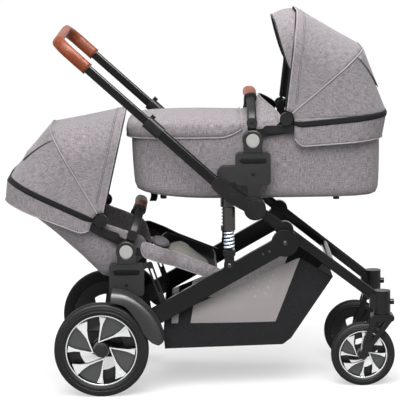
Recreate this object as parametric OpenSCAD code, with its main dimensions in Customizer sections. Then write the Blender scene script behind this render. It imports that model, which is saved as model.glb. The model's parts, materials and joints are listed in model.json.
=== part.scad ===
// Twin pram: carrycot over a reclined seat on one sprung folding chassis.
// Millimetres, +X forward, +Z up, floor at zero, origin midway along its length.

/* [Wheels] */
// Outside diameter of a rear tyre
rear_wheel_d = 290; // [284:1:296]
// Width of a rear tyre
rear_tyre_w = 44; // [40:1:44]
// Gap between a swing arm and the rear tyre beside it
wheel_gap = 12; // [12:1:22]
// Outside diameter of a front tyre
front_wheel_d = 198; // [190:1:204]
// Width of a front tyre
front_tyre_w = 36; // [32:1:38]
// How far each front leg draws in from the knuckle to the caster
leg_draw = 47; // [42:1:50]
// Distance from the rear axle to the front axle
wheelbase = 808; // [800:1:816]
// Distance of the front axle behind its swivel stem
caster_trail = 60; // [56:1:64]

/* [Chassis] */
// Fold pivot ahead of the rear axle
fold_x = 474; // [470:1:478]
// Fold pivot above the floor
fold_z = 571; // [566:1:574]
// Depth of a front leg tube
leg_h = 31; // [28:1:34]
// Width of a front leg tube
leg_w = 20; // [18:1:22]
// Swing-arm pivot ahead of the rear axle
swing_x = 566; // [560:1:572]
// Swing-arm pivot above the floor
swing_z = 461; // [456:1:464]
// Depth of a swing arm
swing_h = 54; // [48:1:58]
// Width of a swing arm
swing_w = 18; // [16:1:19]
// Strut line ahead of the rear axle
strut_x = 395; // [392:1:398]
// Strut top pin above the floor
strut_top_z = 616; // [612:1:620]
// Strut bottom pin above the floor
strut_low_z = 395; // [390:1:398]
// Diameter of a strut sleeve
sleeve_d = 39; // [36:1:40]
// Coils of a strut spring
spring_turns = 5; // [4:1:5]

/* [Handle] */
// Slope of the push arms above the floor
arm_slope = 42.4; // [40:0.2:45]
// Handlebar centre from the fold pivot, along the arms
bar_reach = 784; // [770:1:800]
// Height collar centre from the fold pivot
collar_at = 396; // [380:1:410]
// Depth of a push arm tube
arm_h = 33; // [31:1:35]
// Width of a push arm tube
arm_w = 20; // [20:1:22]
// Length of grip down each arm from the handlebar
grip_leg = 122; // [100:1:130]

/* [Seat units] */
// Carrycot button axis ahead of the rear axle
cot_x = 470; // [466:1:474]
// Carrycot button axis above the floor
cot_z = 778; // [774:1:790]
// Rear seat button axis ahead of the rear axle
seat_x = 79; // [72:1:80]
// Rear seat button axis above the floor
seat_z = 440; // [436:1:444]
// Tilt of the rear seat, head end lowered
seat_tilt = 20; // [17:0.5:20]
// Carrycot width at its rim
cot_w = 384; // [378:1:386]
// Carrycot foot end from the button axis
cot_back = 372; // [356:1:373]
// Carrycot head end from the button axis
cot_front = 396; // [384:1:397]
// Carrycot bottom below the button axis
cot_deep = 187; // [174:1:190]
// Seat head end from the button axis
seat_head = 409; // [400:1:410]
// Seat depth at the hips below the button axis
seat_deep = 125; // [115:1:130]
// Leg rest length
rest_len = 205; // [190:1:220]
// Safety bar height above its pivot
bar_rise = 66; // [60:1:70]

/* [Hoods] */
// Reach of the front bow of a hood from its hinge
hood_front_r = 325; // [318:1:332]
// Reach of the middle bow
hood_mid_r = 315; // [308:1:320]
// Reach of the lower hem
hood_base_r = 315; // [311:1:318]
// Angle of the front bow above the side rail
hood_front_angle = 83; // [76:0.5:84]
// Angle of the middle bow
hood_mid_angle = 40; // [36:0.5:44]
// Corner radius of a bow
bow_round = 120; // [90:1:140]
// Reach of the sun visor past the front bow
visor_reach = 78; // [50:1:90]

/* [Basket] */
// Basket floor above the ground
basket_z = 131; // [126:1:140]
// Basket back end ahead of the rear axle
basket_back = 194; // [188:1:204]
// Length of the basket floor
basket_floor = 372; // [350:1:380]

/* [Hidden] */
$fn = 48;
// Fits and walls
fit = 0.1;
tyre_fit = 0.45;
run = 0.05;
clear = 0.5;
cloth_t = 3;
half_share = 0.5;

// Layers across the pram, outward from the carrycot
rail_t = 9;
rail_gap = 5;
layer_gap = 1;
shoe_gap = 2.5;
rail_in = cot_w / 2 + rail_gap;
plug_in = rail_in + rail_t + layer_gap;
plug_w = 36;
plug_out = plug_in + plug_w;
swing_out = plug_out + layer_gap;
swing_in = swing_out - swing_w;
swing_y = swing_out - swing_w / 2;
shoe_w = 26;
shoe_in = plug_out + shoe_gap;
shoe_out = shoe_in + shoe_w;
arm_y = shoe_in + shoe_w / 2;
leg_y = plug_in + plug_w / 2;
rear_track = 2 * (swing_out + wheel_gap) + rear_tyre_w;
front_track = 2 * (leg_y - leg_draw);

// Main points
rear_r = rear_wheel_d / 2;
front_r = front_wheel_d / 2;
caster_x = wheelbase + caster_trail;
crown_gap = 6;
crown_h = 21;
crown_z = front_wheel_d + crown_gap;
house_gap = 1.5;
house_z = crown_z + crown_h + house_gap;
house_h = 72;
house_r = 26;
house_mid = house_z + house_h / 2;
leg_top = [fold_x, -leg_y, fold_z];
leg_low = [caster_x, -front_track / 2, house_mid];
fold_p = [fold_x, fold_z];
strut_top = [strut_x, strut_top_z];
strut_low = [strut_x, strut_low_z];
swing_p = [swing_x, swing_z];
axle_p = [0, rear_r];

// Knuckle, shoe and sockets
boss_r = 34;
lug_r = 20;
pin_r = 9;
strut_pin_r = 7;
horn_p = [-86, -102];
horn_r = 24;
sock_w = 107;
sock_top = -38.5;
sock_h = 99;
sock_round = 12;
tongue_w = 46;
tongue_t = 17;
tongue_h = 74;
house_plug_r = 31;
button_r = 20.6;
button_t = 7;
button_room = 11;
button_fit = 0.4;
slot_w = 76;
slot_h = 7;
slot_drop = 62;
slot_deep = 8;
dot_r = 5;
dot_drop = 104;
lug_t = 17;
leg_start = 24;
leg_stop = 26;
brk_r = 27;
cross_share = 0.6;
cross_r = 11;

// Swing arm, axle, fender and receiver
axle_r = 8;
axle_tube_r = 14;
axle_end = 16;
swing_boss_r = 42;
clevis_lug_r = 17;
fender_gap = 8;
fender_c = [22, 5];
fender_rise = 23;
fender_r = rear_r + fender_rise;
fender_in_r = rear_r + fender_gap;
fender_tip_shares = [[0.98, 0.392], [1.255, 0.052]];
fender_tip = fender_in_r * fender_tip_shares;
fender_web_shares = [[0.35, 0.2], [0.75, 0.82]];
fender_web_share = 0.2;
fender_t = 7;
fender_over = 1;
fender_from = 26;
post_in = plug_in + layer_gap;
post_t = swing_in - post_in - fit;
post_foot = 118;
brace_t = 5;
brace_r = 9;
brace_top = [72, -44];
brace_share = 0.35;
brace_slot_shares = [0.1, 0.6];
brace_slot_share = 0.35;
bolt_r = 5;

// Strut
eye_r = 15;
sleeve_top = 574;
sleeve_low = 503;
sleeve_bore = 12;
rod_r = 8;
rod_up = 545;
cup_z = 440;
cup_h = 16;
cheek_r = 15;
cheek_t = 5.5;
coil_wire = 5.5;
coil_r = 14.2;

// Caster
fork_gap = 3;
fork_t = 6;
fork_y = front_tyre_w / 2 + fork_gap;
fork_back = 26;
fork_fore = 27;
fork_bar_r = 9;
fork_eye_r = 13;
front_axle_r = 6;
stem_r = 9;
stem_h = 58;
lock_r = 9;
lock_out = 11;
lock_in = 6;
lock_travel = 4.5;

// Tyres and rims
tyre_round = 9;
rim_share = 0.76;
lip_t = 7;
hub_r = 24;
cap_r = 19;
web_t = 16;
web_back = 5;
spoke_n = 4;
spoke_root = 8;
spoke_end = 22;
spoke_wide = 38;
spoke_seat_share = 0.9;
v_root_angle = 101;
v_near_angle = 86;
v_far_angle = 36;
v_slot_angle = 20;
v_slot_root_angle = 50;

// Handle
arm_drop = 18;
arm_wall = 1.8;
tube_h = 28;
tube_w = 15;
tube_from = 250;
bend_r = 58;
pad_t = 5;
collar_len = 58;
collar_t = 4;
shoe_len = 134;
shoe_mid = 80;
shoe_r = 21;
arm_from = 84;
latch_r = 9;
latch_out = 3;
tab_w = 12;
tab_h = 8;
tab_l = 14;

// Side rail, safety bar and hood hinge of a seat unit
hub_disc_r = 26;
rail_b = 30;
rail_end = 118;
rail_h = 26;
rail_start = 44;
rail_thick = 16;
rivet_p = [100, 21];
rivet_r = 6;
hinge = [103, 63];
hinge_lug_r = 13;
hinge_r = 6;
eye_bow_r = 12;
bow_t = 4;
bow_d = 10;
bow_step = 5;
hood_cap_r = 20;
hood_cap_t = 11;
tilt_pin_r = 10;
tilt_pin_l = 14;
bar_p = [-2, 52];
bar_pin_r = 7;
bar_eye_r = 16;
bar_eye_t = 22;
bar_y = plug_in + 12;
bar_wide = 28;
bar_thin = 17;
bar_foot = 6;
bar_pad = 5;
bar_n = 28;
bar_m = 16;
bar_held = 10;
mid_y = plug_in + bow_t / 2;
front_y = mid_y + bow_step;
cap_in = front_y + bow_t / 2 + clear;
hood_half = front_y + bow_t / 2 + layer_gap + cloth_t;
bow_under = 11;
bow_side = cloth_t + layer_gap + bow_t / 2;
hood_root = 25;
visor_n = 3;
visor_side_share = 0.02;
visor_power_share = 1.6;
visor_seat = bow_d / 2 + fit;
visor_narrow = 2600;
visor_droop = 190;
visor_tuck = 9;
hood_sag_share = 0.006;
hem_angle = 1;

// Carrycot body
rim_b = 28;
cot_wall = 11;
cot_floor = 12;
cot_taper = 8;
cot_corner = 24;
cot_rocker = 24;
cot_level = -110;
cot_power_share = 5.5;
mat_gap = 5;
mat_seat = 0.4;
mat_h = 38;
apron_to = -31;
apron_hem = 4;
apron_gap = 0.3;
apron_foot_gap = 9;
apron_top = 67;
apron_back = 48;
apron_end_share = 0.5;
collar_tip = [24, 118];
collar_side = [90, 66];
skirt_h = 82;
skirt_in = 14;
foot_r = 10;
foot_h = 13;
foot_shares = [-0.74, 0.7];
foot_y = 120;

// Rear seat body
seat_toe = -78;
seat_in = 2;
seat_half = cot_w / 2 - seat_in;
seat_wall = 8;
seat_belly_share = 0.4;
seat_rim = 40;
seat_rim_share = 0.085;
seat_low_shares = [[-0.19, 0.06], [-0.04, 0.88], [0.1, 0.92], [0.3, 0.6], [0.55, 0.26], [0.75, 0.04],
  [1, -0.17]];
pad_h = 20;
pad_gap = 3.1;
rest_t = 34;
rest_in = 14;
rest_half = cot_w / 2 - rest_in;
rest_drop_share = 0.1;
rest_back = 13;
rest_up = 14;
rest_front = 2;
rest_p = [seat_toe - rest_back, rest_up];
rest_barrel = 10;
rest_pin = 6;
rest_pin_in = 14;
rest_arm = 12;

// Brake
pedal_half = 32;
pedal_wall = 5;
pedal_len = 82;
pedal_t = 9;
pedal_w = 84;
pedal_plate = 34;

// Basket
basket_wall = 4;
basket_gap = 0.4;
basket_half_back = swing_in - basket_gap;
basket_half_front = 166;
basket_nose = [717, 340];
basket_toe = 18;
basket_top = [612, 404];
basket_lift = 26;
basket_open = 16;
basket_lean_share = 1.4;

// Reach fore and aft, which sets the origin
hem_reach = (hinge[0] + hood_base_r * cos(hem_angle)) * cos(seat_tilt)
  - (hinge[1] + hood_base_r * sin(hem_angle)) * sin(seat_tilt);
head_lift = seat_rim_at(seat_head) * (1 - seat_belly_share) + seat_z_at(1) * seat_belly_share;
rear_reach = max(hem_reach, seat_head * cos(seat_tilt) - head_lift * sin(seat_tilt)) - seat_x;
front_reach = wheelbase + front_r;
origin_x = (front_reach - rear_reach) / 2;

// Longest round count of an outline and of a bow
ring_n = 40;
leg_n = 3;
arc_n = 8;
top_n = 4;

// Sub-part to draw

// Frames: the whole pram, a pair of sides, one side
module place() translate([-origin_x, 0, 0]) children();
module side() {
  children();
  mirror([0, 1, 0]) children();
}
module left() mirror([0, 1, 0]) children();
module cot_frame() translate([cot_x, 0, cot_z]) children();
module seat_frame() translate([seat_x, 0, seat_z]) rotate([0, seat_tilt, 0]) mirror([1, 0, 0]) children();
module seat_upright() translate([seat_x, 0, seat_z]) children();
module arm_frame() translate([fold_x, 0, fold_z]) rotate([0, arm_slope - 90, 0]) children();
module hinge_frame(a) translate([hinge[0], 0, hinge[1]]) rotate([0, 90 - a, 0]) children();
module bar_frame() translate([bar_p[0], 0, bar_p[1]]) children();

// A plate seen from the side, from one distance across the pram to another
module plate(y0, y1) translate([0, -y0, 0]) rotate([90, 0, 0]) linear_extrude(y1 - y0) children();

// Outlines
module at2(p) translate(p) children();
module bar2d(p, q, r) {
  len = norm(q - p);
  translate(p) rotate(atan2(q[1] - p[1], q[0] - p[0])) {
    circle(r);
    translate([len, 0]) circle(r);
    translate([0, -r]) square([len, 2 * r]);
  }
}
module oval(w, h) bar2d([0, -(h - w) / 2], [0, (h - w) / 2], w / 2);
module rounded(x0, x1, z0, z1, r) {
  translate([x0 + r, z0]) square([x1 - x0 - 2 * r, z1 - z0]);
  translate([x0, z0 + r]) square([x1 - x0, z1 - z0 - 2 * r]);
  for (x = [x0 + r, x1 - r], z = [z0 + r, z1 - r]) translate([x, z]) circle(r);
}

// A straight oval tube from p towards q, between two distances from p
module tube(p, q, from, to, w, h) {
  d = q - p;
  translate(p) rotate([0, atan2(-d[2], norm([d[0], d[1]])), atan2(d[1], d[0])])
    translate([from, 0, 0]) rotate([90, 0, 90]) linear_extrude(to - from) oval(w, h);
}

// A bent tube: two legs at y = -half and half up to a crossbar at height top
module u_tube(half, low, top, round, w, h) {
  side() translate([0, -half, low]) linear_extrude(top - round - low) rotate(90) oval(w, h);
  side() translate([0, round - half, top - round]) rotate([90, 0, 90]) rotate([0, 0, 90])
    rotate_extrude(angle = 90) translate([round, 0]) oval(w, h);
  translate([0, half - round, top]) rotate([90, 0, 0]) linear_extrude(2 * (half - round)) rotate(90)
    oval(w, h);
}

// Skins: closed rings with laddered ends, and a sheet with two faces
function pick(i, j, m) = i * m + j % m;
function wall_faces(n, m) = [for (i = [0:n - 2], j = [0:m - 1])
  each [[pick(i, j, m), pick(i, j + 1, m), pick(i + 1, j + 1, m)],
    [pick(i, j, m), pick(i + 1, j + 1, m), pick(i + 1, j, m)]]];
function ladder(i, m) = [for (j = [0:m / 2 - 1])
  each [[pick(i, j, m), pick(i, m - j, m), pick(i, j + 1, m)],
    [pick(i, j + 1, m), pick(i, m - j, m), pick(i, m - j - 1, m)]]];
function flip(f) = [for (t = f) [t[2], t[1], t[0]]];
function real_tris(f) = [for (t = f) if (t[0] != t[1] && t[1] != t[2] && t[0] != t[2]) t];
module skin(rings) {
  n = len(rings);
  m = len(rings[0]);
  f = concat(wall_faces(n, m), ladder(0, m), flip(ladder(n - 1, m)));
  polyhedron(points = [for (r = rings) each r], faces = flip(real_tris(f)), convexity = 6);
}
module sheet(outer, inner) {
  n = len(outer);
  m = len(outer[0]);
  loops = [for (i = [0:n - 1]) concat(outer[i], [for (j = [m - 1:-1:0]) inner[i][j]])];
  k = 2 * m;
  ends = [for (j = [0:m - 2]) each [[j, k - 1 - j, j + 1], [j + 1, k - 1 - j, k - 2 - j]]];
  far = [for (t = ends) [for (v = t) v + (n - 1) * k]];
  f = concat(wall_faces(n, k), ends, flip(far));
  polyhedron(points = [for (r = loops) each r], faces = flip(f), convexity = 6);
}
function sgn(v) = v < 0 ? -1 : 1;
function bulge(v, e) = sgn(v) * pow(abs(v), 2 / e);
function outline(x0, x1, w, e) = [for (i = [0:ring_n - 1])
  let (a = 360 * i / ring_n)
  [(x0 + x1) / 2 + (x1 - x0) / 2 * bulge(cos(a), e), i % (ring_n / 2) == 0 ? 0 : w * bulge(sin(a), e)]];
function level(o, z) = [for (p = o) [p[0], p[1], z]];

// Front legs, from the knuckle to the caster, with the swing-arm bracket and the cross tube
leg_len = norm(leg_low - leg_top);
function on_leg(s) = leg_top + (leg_low - leg_top) * s;
module leg(grow) tube(leg_top, leg_low, leg_start - grow, leg_len - leg_stop + grow, leg_w + 2 * grow,
  leg_h + 2 * grow);
bracket_s = (swing_x - fold_x) / (caster_x - fold_x);
bracket_y = -on_leg(bracket_s)[1];
module front_legs() {
  color("#23252a") {
    side() difference() {
      union() {
        leg(0);
        plate(bracket_y - leg_w / 2, swing_in - clear)
          bar2d([swing_x, on_leg(bracket_s)[2]], swing_p, brk_r);
      }
      plate(0, plug_out) at2(swing_p) circle(pin_r + fit);
    }
    cross = on_leg(cross_share);
    half = -cross[1] - leg_w / 2 - fit;
    translate([cross[0], half, cross[2]]) rotate([90, 0, 0]) cylinder(r = cross_r, h = 2 * half);
  }
}

// Knuckle: fold boss, strut lug, horn and the socket for the carrycot plug
module knuckles() {
  color("#3a3d42") side() difference() {
    union() {
      plate(plug_in, plug_out) {
        at2(fold_p) circle(boss_r);
        bar2d(fold_p, [cot_x, cot_z + sock_top - sock_h / 2], lug_r);
        bar2d([cot_x, cot_z] + horn_p, [cot_x, cot_z + horn_p[1]], horn_r);
        at2([cot_x, cot_z]) rounded(-sock_w / 2, sock_w / 2, sock_top - sock_h, sock_top, sock_round);
      }
      plate(plug_in, plug_in + lug_t) bar2d(strut_top, fold_p, lug_r);
    }
    leg(fit);
    plate(plug_in - clear, plug_out + clear) at2(fold_p) circle(pin_r + fit);
    plate(plug_in - clear, plug_out + clear) at2(strut_top) circle(strut_pin_r + fit);
    cot_frame() socket_room();
  }
}
// Room in a socket: the tongue's pocket, the finger slot and the small round recess
module socket_room() {
  mid = plug_in + plug_w / 2;
  plate(mid - tongue_t / 2 - clear, mid + tongue_t / 2 + clear)
    translate([-tongue_w / 2 - clear, sock_top - tongue_h - clear]) square([tongue_w + 2 * clear,
      tongue_h * 2]);
  plate(plug_out - slot_deep, plug_out + clear)
    bar2d([-slot_w / 2, -slot_drop], [slot_w / 2, -slot_drop], slot_h / 2);
  plate(plug_out - slot_deep, plug_out + clear) at2([0, -dot_drop]) circle(dot_r);
}

// Caster housing at the foot of each leg
module caster_housings() {
  color("#2c2e33") side() difference() {
    union() {
      translate([caster_x, -front_track / 2, house_z]) cylinder(r = house_r, h = house_h);
      translate([caster_x - house_r * 1.5, -front_track / 2 - leg_w * 0.9, house_mid - leg_h * 0.55])
        cube([house_r * 1.5, leg_w * 1.8, leg_h * 1.45]);
    }
    leg(fit);
    translate([caster_x, -front_track / 2, house_z - clear]) cylinder(r = stem_r + run, h = stem_h + clear);
    lock_bore(lock_r + fit);
  }
}
module lock_bore(r) translate([caster_x + house_r - lock_in, -front_track / 2, house_mid])
  rotate([0, 90, 0]) cylinder(r = r, h = lock_in + lock_out);

// Pins: fold, strut and swing arm
module pivot_pins() {
  color("#8d9096") side() {
    plate(plug_in + clear, shoe_out - pad_t) at2(fold_p) circle(pin_r);
    plate(plug_in + clear, shoe_in - clear) at2(strut_top) circle(strut_pin_r);
    plate(bracket_y - leg_w / 2 + clear, swing_out) at2(swing_p) circle(pin_r);
  }
}

// Swing arm from its pivot to the rear axle
module swing_arms() {
  color("#1f2126") side() difference() {
    plate(swing_in, swing_out) {
      bar2d(swing_p, axle_p, swing_h / 2);
      at2(swing_p) circle(swing_boss_r);
      bar2d(strut_low, strut_low - [0, swing_h / 2], clevis_lug_r);
    }
    plate(swing_in - clear, swing_out + clear) at2(swing_p) circle(pin_r + run);
    plate(swing_in - clear, swing_out + clear) at2(axle_p) circle(axle_r + fit);
    plate(swing_in - clear, swing_out + clear) at2(strut_low) circle(strut_pin_r + run);
  }
}
module rear_axle() {
  color("#85888e") {
    translate([0, rear_track / 2 + axle_end, rear_r]) rotate([90, 0, 0]) cylinder(r = axle_r, h =
      rear_track + 2 * axle_end);
    translate([0, swing_in - fit, rear_r]) rotate([90, 0, 0]) cylinder(r = axle_tube_r, h =
      2 * (swing_in - fit));
  }
}

// Fender over the front quarter of a rear wheel
module fender_outline() {
  intersection() {
    difference() {
      at2(axle_p + fender_c) circle(fender_r);
      at2(axle_p) circle(fender_in_r);
    }
    at2(axle_p) polygon([[fender_from, fender_r * 2], [fender_from, fender_tip[0][1]],
      fender_tip[0], fender_tip[1],
      [fender_r * 2, fender_tip[1][1]], [fender_r * 2, fender_r * 2]]);
  }
}
module fenders() {
  color("#33363b") side() {
    plate(swing_out + fit, rear_track / 2 + rear_tyre_w / 2 - fender_over) fender_outline();
    plate(swing_out + fit, swing_out + fender_t) difference() {
      bar2d(axle_p + fender_in_r * fender_web_shares[0], axle_p + fender_in_r * fender_web_shares[1],
        fender_in_r * fender_web_share);
      at2(axle_p) circle(axle_tube_r + pad_t);
      fender_outline();
    }
  }
}

// Receiver for the rear seat, on a post inside the swing arm
module seat_receivers() {
  color("#303338") side() {
    seat_upright() difference() {
      plate(plug_in, plug_out) rounded(-sock_w / 2, sock_w / 2, sock_top - sock_h, sock_top, sock_round);
      socket_room();
    }
    plate(post_in, post_in + post_t) difference() {
      polygon([[seat_x - sock_w / 2 + sock_round, seat_z + sock_top - sock_h],
        [seat_x + sock_w / 2 - sock_round, seat_z + sock_top - sock_h],
        [post_foot, rear_r + post_foot * (swing_z - rear_r) / swing_x - swing_h / 4],
        [post_foot * half_share, rear_r + post_foot * half_share * (swing_z - rear_r)
          / swing_x - swing_h / 4]]);
      at2(axle_p) circle(axle_tube_r + pad_t);
    }
    plate(swing_in - 2 * (brace_t + fit), swing_in - brace_t - 2 * fit)
      bar2d([seat_x + sock_w / 2 - brace_r, seat_z + sock_top - sock_round], [seat_x, seat_z] + brace_top,
        brace_r);
  }
}
// Brace from the ear of a receiver down to the swing arm
module receiver_braces() {
  low = axle_p + (swing_p - axle_p) * brace_share;
  top = [seat_x, seat_z] + brace_top;
  color("#4a4d52") side() plate(swing_in - brace_t - fit, swing_in - fit) difference() {
    bar2d(top, low, brace_r);
    at2(low) circle(bolt_r);
    bar2d(top + (low - top) * brace_slot_shares[0], top + (low - top) * brace_slot_shares[1],
      brace_r * brace_slot_share);
  }
}

// Foot brake on the axle tube
module brake_pedal() {
  color("#2a2c30") difference() {
    union() {
      translate([0, pedal_half, rear_r]) rotate([90, 0, 0]) cylinder(r = axle_tube_r + pedal_wall, h =
        2 * pedal_half);
      translate([-pedal_len, -pedal_half, rear_r]) cube([pedal_len, 2 * pedal_half, pedal_t]);
      translate([-pedal_len - pedal_plate, -pedal_w / 2, rear_r]) cube([pedal_plate, pedal_w, pedal_t]);
    }
    translate([0, pedal_half + clear, rear_r]) rotate([90, 0, 0]) cylinder(r = axle_tube_r + run, h =
      2 * (pedal_half + clear));
  }
}

// Basket: a tub of cloth, narrower at the front
function basket_half(x) = basket_half_back
  + (basket_half_front - basket_half_back) * (x - basket_back) / (basket_nose[0] - basket_back);
module tapered(points, inset) {
  n = len(points);
  pts = concat([for (p = points) [p[0], inset - basket_half(p[0]), p[1]]],
    [for (p = points) [p[0], basket_half(p[0]) - inset, p[1]]]);
  caps = [[for (i = [0:n - 1]) i], [for (i = [n - 1:-1:0]) i + n]];
  walls = [for (i = [0:n - 1]) [i, i + n, (i + 1) % n + n, (i + 1) % n]];
  polyhedron(points = pts, faces = concat(caps, [for (w = walls) [w[3], w[2], w[1], w[0]]]), convexity = 4);
}
module basket() {
  toe = basket_back + basket_floor;
  back_top = rear_r + basket_back * (swing_z - rear_r) / swing_x - basket_lift;
  w = basket_wall;
  color("#26282b") difference() {
    tapered([[basket_back, basket_z], [basket_back, back_top], basket_top, basket_nose,
      [toe + basket_toe, basket_z + basket_toe], [toe, basket_z]], 0);
    tapered([[basket_back + w, basket_z + w], [basket_back + w, back_top + basket_open],
      basket_top + [-w, 2 * basket_open], basket_nose + [-w * basket_lean_share, basket_open],
      [toe + basket_toe - w, basket_z + basket_toe + w / 2], [toe, basket_z + w]], w);
  }
}

// Struts
module strut_sleeve() {
  color("#6d7076") difference() {
    union() {
      plate(plug_in + lug_t + clear, shoe_in - 2 * clear) bar2d(strut_top, [strut_x, sleeve_top], eye_r);
      translate([strut_x, -swing_y, sleeve_low]) cylinder(d = sleeve_d, h = sleeve_top - sleeve_low);
    }
    plate(plug_in, shoe_in) at2(strut_top) circle(strut_pin_r + run);
    translate([strut_x, -swing_y, sleeve_low - clear]) cylinder(r = sleeve_bore, h =
      rod_up + cup_h - sleeve_low);
  }
}
module strut_rod() {
  color("#9a9da3") {
    translate([strut_x, -swing_y, cup_z]) cylinder(r = rod_r, h = rod_up - cup_z);
    translate([strut_x, -swing_y, cup_z - cup_h]) cylinder(d = sleeve_d - layer_gap, h = cup_h);
    for (y = [swing_in - clear - cheek_t, swing_out + clear])
      plate(y, y + cheek_t) bar2d(strut_low, [strut_x, cup_z - cheek_r - layer_gap], cheek_r);
    plate(swing_in - clear - cheek_t, swing_out + clear + cheek_t) at2(strut_low) circle(strut_pin_r);
  }
}
coil_h = sleeve_low - cup_z - coil_wire - 2 * fit;
coil_steps = 8;
function coil_mid(i) = let (t = i / coil_steps) [coil_r * cos(360 * t), coil_r * sin(360 * t),
  cup_z + fit + coil_wire / 2 + coil_h * t / spring_turns];
echo(coil_gap = min([for (i = [0:coil_steps * (spring_turns - 1)]) norm(coil_mid(i + coil_steps)
  - coil_mid(i)) - coil_wire]));
module strut_spring() {
  n = coil_steps * spring_turns;
  sides = 6;
  slope = atan(coil_h / spring_turns / (2 * PI * coil_r));
  rings = [for (i = [0:n]) let (a = 360 * i / coil_steps) [for (k = [0:sides - 1]) let (b = 360 * k / sides)
    coil_mid(i) + coil_wire / 2 * (cos(b) * [cos(a), sin(a), 0]
      - sin(b) * [sin(slope) * sin(a), -sin(slope) * cos(a), cos(slope)])]];
  color("#aeb6c4") translate([strut_x, -swing_y, 0]) skin(rings);
}

// Wheels: a tyre and a rim whose four V-shaped spokes open towards the tyre
module tyre(r, w) {
  rim = r * rim_share;
  rotate([90, 0, 0]) rotate_extrude() {
    translate([rim + tyre_fit, -w / 2]) square([r - rim - tyre_round - tyre_fit, w]);
    translate([rim + tyre_fit, tyre_round - w / 2]) square([r - rim - tyre_fit, w - 2 * tyre_round]);
    for (z = [tyre_round - w / 2, w / 2 - tyre_round]) translate([r - tyre_round, z]) circle(tyre_round);
  }
}
function polar(r, a) = [r * cos(a), r * sin(a)];
module spoke(r0, a0, w0, r1, a1, w1) {
  p = polar(r0, a0);
  q = polar(r1, a1);
  n = [p[1] - q[1], q[0] - p[0]] / norm(q - p);
  polygon([p + n * w0 / 2, p - n * w0 / 2, q - n * w1 / 2, q + n * w1 / 2]);
}
module rim(r, w, bore, scale_share) {
  rim_r = r * rim_share;
  ring = rim_r - lip_t / 2;
  k = scale_share;
  difference() {
    union() {
      plate(-w / 2 + web_back, w / 2 - web_back) difference() {
        circle(rim_r);
        circle(rim_r - lip_t);
      }
      plate(w / 2 - web_back - web_t, w / 2 - web_back) for (i = [0:spoke_n - 1])
        rotate(360 * i / spoke_n) {
        spoke(hub_r * k - lip_t / 2, v_root_angle, spoke_root * k, ring, v_near_angle, spoke_end * k);
        spoke(hub_r * k - lip_t / 2, v_root_angle, spoke_root * k, rim_r - lip_t * spoke_seat_share,
          v_far_angle, spoke_wide * k);
      }
      plate(w / 2 - web_back - web_t, w / 2 - web_t) for (i = [0:spoke_n - 1])
        rotate(360 * i / spoke_n) spoke(hub_r * k - lip_t / 2, v_slot_root_angle, spoke_end * k, ring,
          v_slot_angle, spoke_end * k);
      plate(web_back - w / 2, w / 2 - web_back) circle(hub_r * k);
    }
    plate(-w, w) circle(bore);
  }
}
module rear_wheel_at() translate([0, -rear_track / 2, rear_r]) children();
module front_wheel_at() translate([wheelbase, -front_track / 2, front_r]) children();
module rear_tyre() color("#1b1c1e") rear_wheel_at() tyre(rear_r, rear_tyre_w);
module rear_rim() {
  color("#9fa2a6") rear_wheel_at() {
    rim(rear_r, rear_tyre_w, axle_r + run, 1);
    plate(rear_tyre_w / 2 - web_back, rear_tyre_w / 2 - fender_over) circle(cap_r);
  }
}
module front_tyre() color("#1b1c1e") front_wheel_at() tyre(front_r, front_tyre_w);
module front_rim() color("#9fa2a6") front_wheel_at() rim(front_r, front_tyre_w, front_axle_r + run,
  front_r / rear_r);

// Caster fork with its stem and axle bolt
module caster_fork() {
  axle = [wheelbase, front_r];
  yc = front_track / 2;
  crown_mid = crown_z + crown_h / 2;
  color("#2c2e33") {
    plate(yc - fork_y - fork_t, yc + fork_y + fork_t)
      rounded(caster_x - fork_back - fork_bar_r, caster_x + fork_fore + fork_bar_r, crown_z,
        crown_z + crown_h, fork_bar_r);
    for (y = [yc - fork_y - fork_t, yc + fork_y]) plate(y, y + fork_t) {
      bar2d([caster_x - fork_back, crown_mid], axle, fork_bar_r);
      bar2d([caster_x + fork_fore, crown_mid], axle, fork_bar_r * 0.8);
      at2(axle) circle(fork_eye_r);
    }
    plate(yc - fork_y - fork_t, yc + fork_y + fork_t) at2(axle) circle(front_axle_r);
    translate([caster_x, -yc, crown_z + crown_h]) cylinder(r = stem_r, h = stem_h - clear);
  }
}
module caster_lock() color("#8d9096")
  translate([caster_x + house_r - lock_in + lock_travel, -front_track / 2, house_mid])
    rotate([0, 90, 0]) cylinder(r = lock_r, h = lock_in + lock_out - lock_travel);

// Push arms, shoes and collars, in the frame of the arm line
module push_arms() {
  color("#202227") arm_frame() side() translate([-arm_drop, -arm_y, arm_from]) difference() {
    linear_extrude(collar_at - arm_from) rotate(90) oval(arm_w, arm_h);
    translate([0, 0, arm_wall]) linear_extrude(collar_at) rotate(90) oval(arm_w - 2 * arm_wall,
      arm_h - 2 * arm_wall);
  }
}
function on_arm(s) = fold_p + s * [-cos(arm_slope), sin(arm_slope)] - arm_drop * [sin(arm_slope),
  cos(arm_slope)];
module arm_shoes() {
  color("#3a3d42") side() difference() {
    union() {
      plate(shoe_in, shoe_out) {
        at2(fold_p) circle(boss_r);
        bar2d(fold_p, on_arm(shoe_mid), shoe_r);
        bar2d(on_arm(shoe_mid), on_arm(shoe_len), shoe_r);
      }
      plate(shoe_out, shoe_out + latch_out) at2(fold_p) circle(boss_r - pad_t);
      plate(shoe_out, shoe_out + latch_out) at2(on_arm(shoe_mid)) circle(latch_r);
    }
    plate(shoe_in - clear, shoe_out - pad_t + fit) at2(fold_p) circle(pin_r + run);
    arm_frame() translate([-arm_drop, -arm_y, arm_from - fit]) linear_extrude(shoe_len)
      rotate(90) oval(arm_w + 2 * fit, arm_h + 2 * fit);
  }
}
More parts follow.
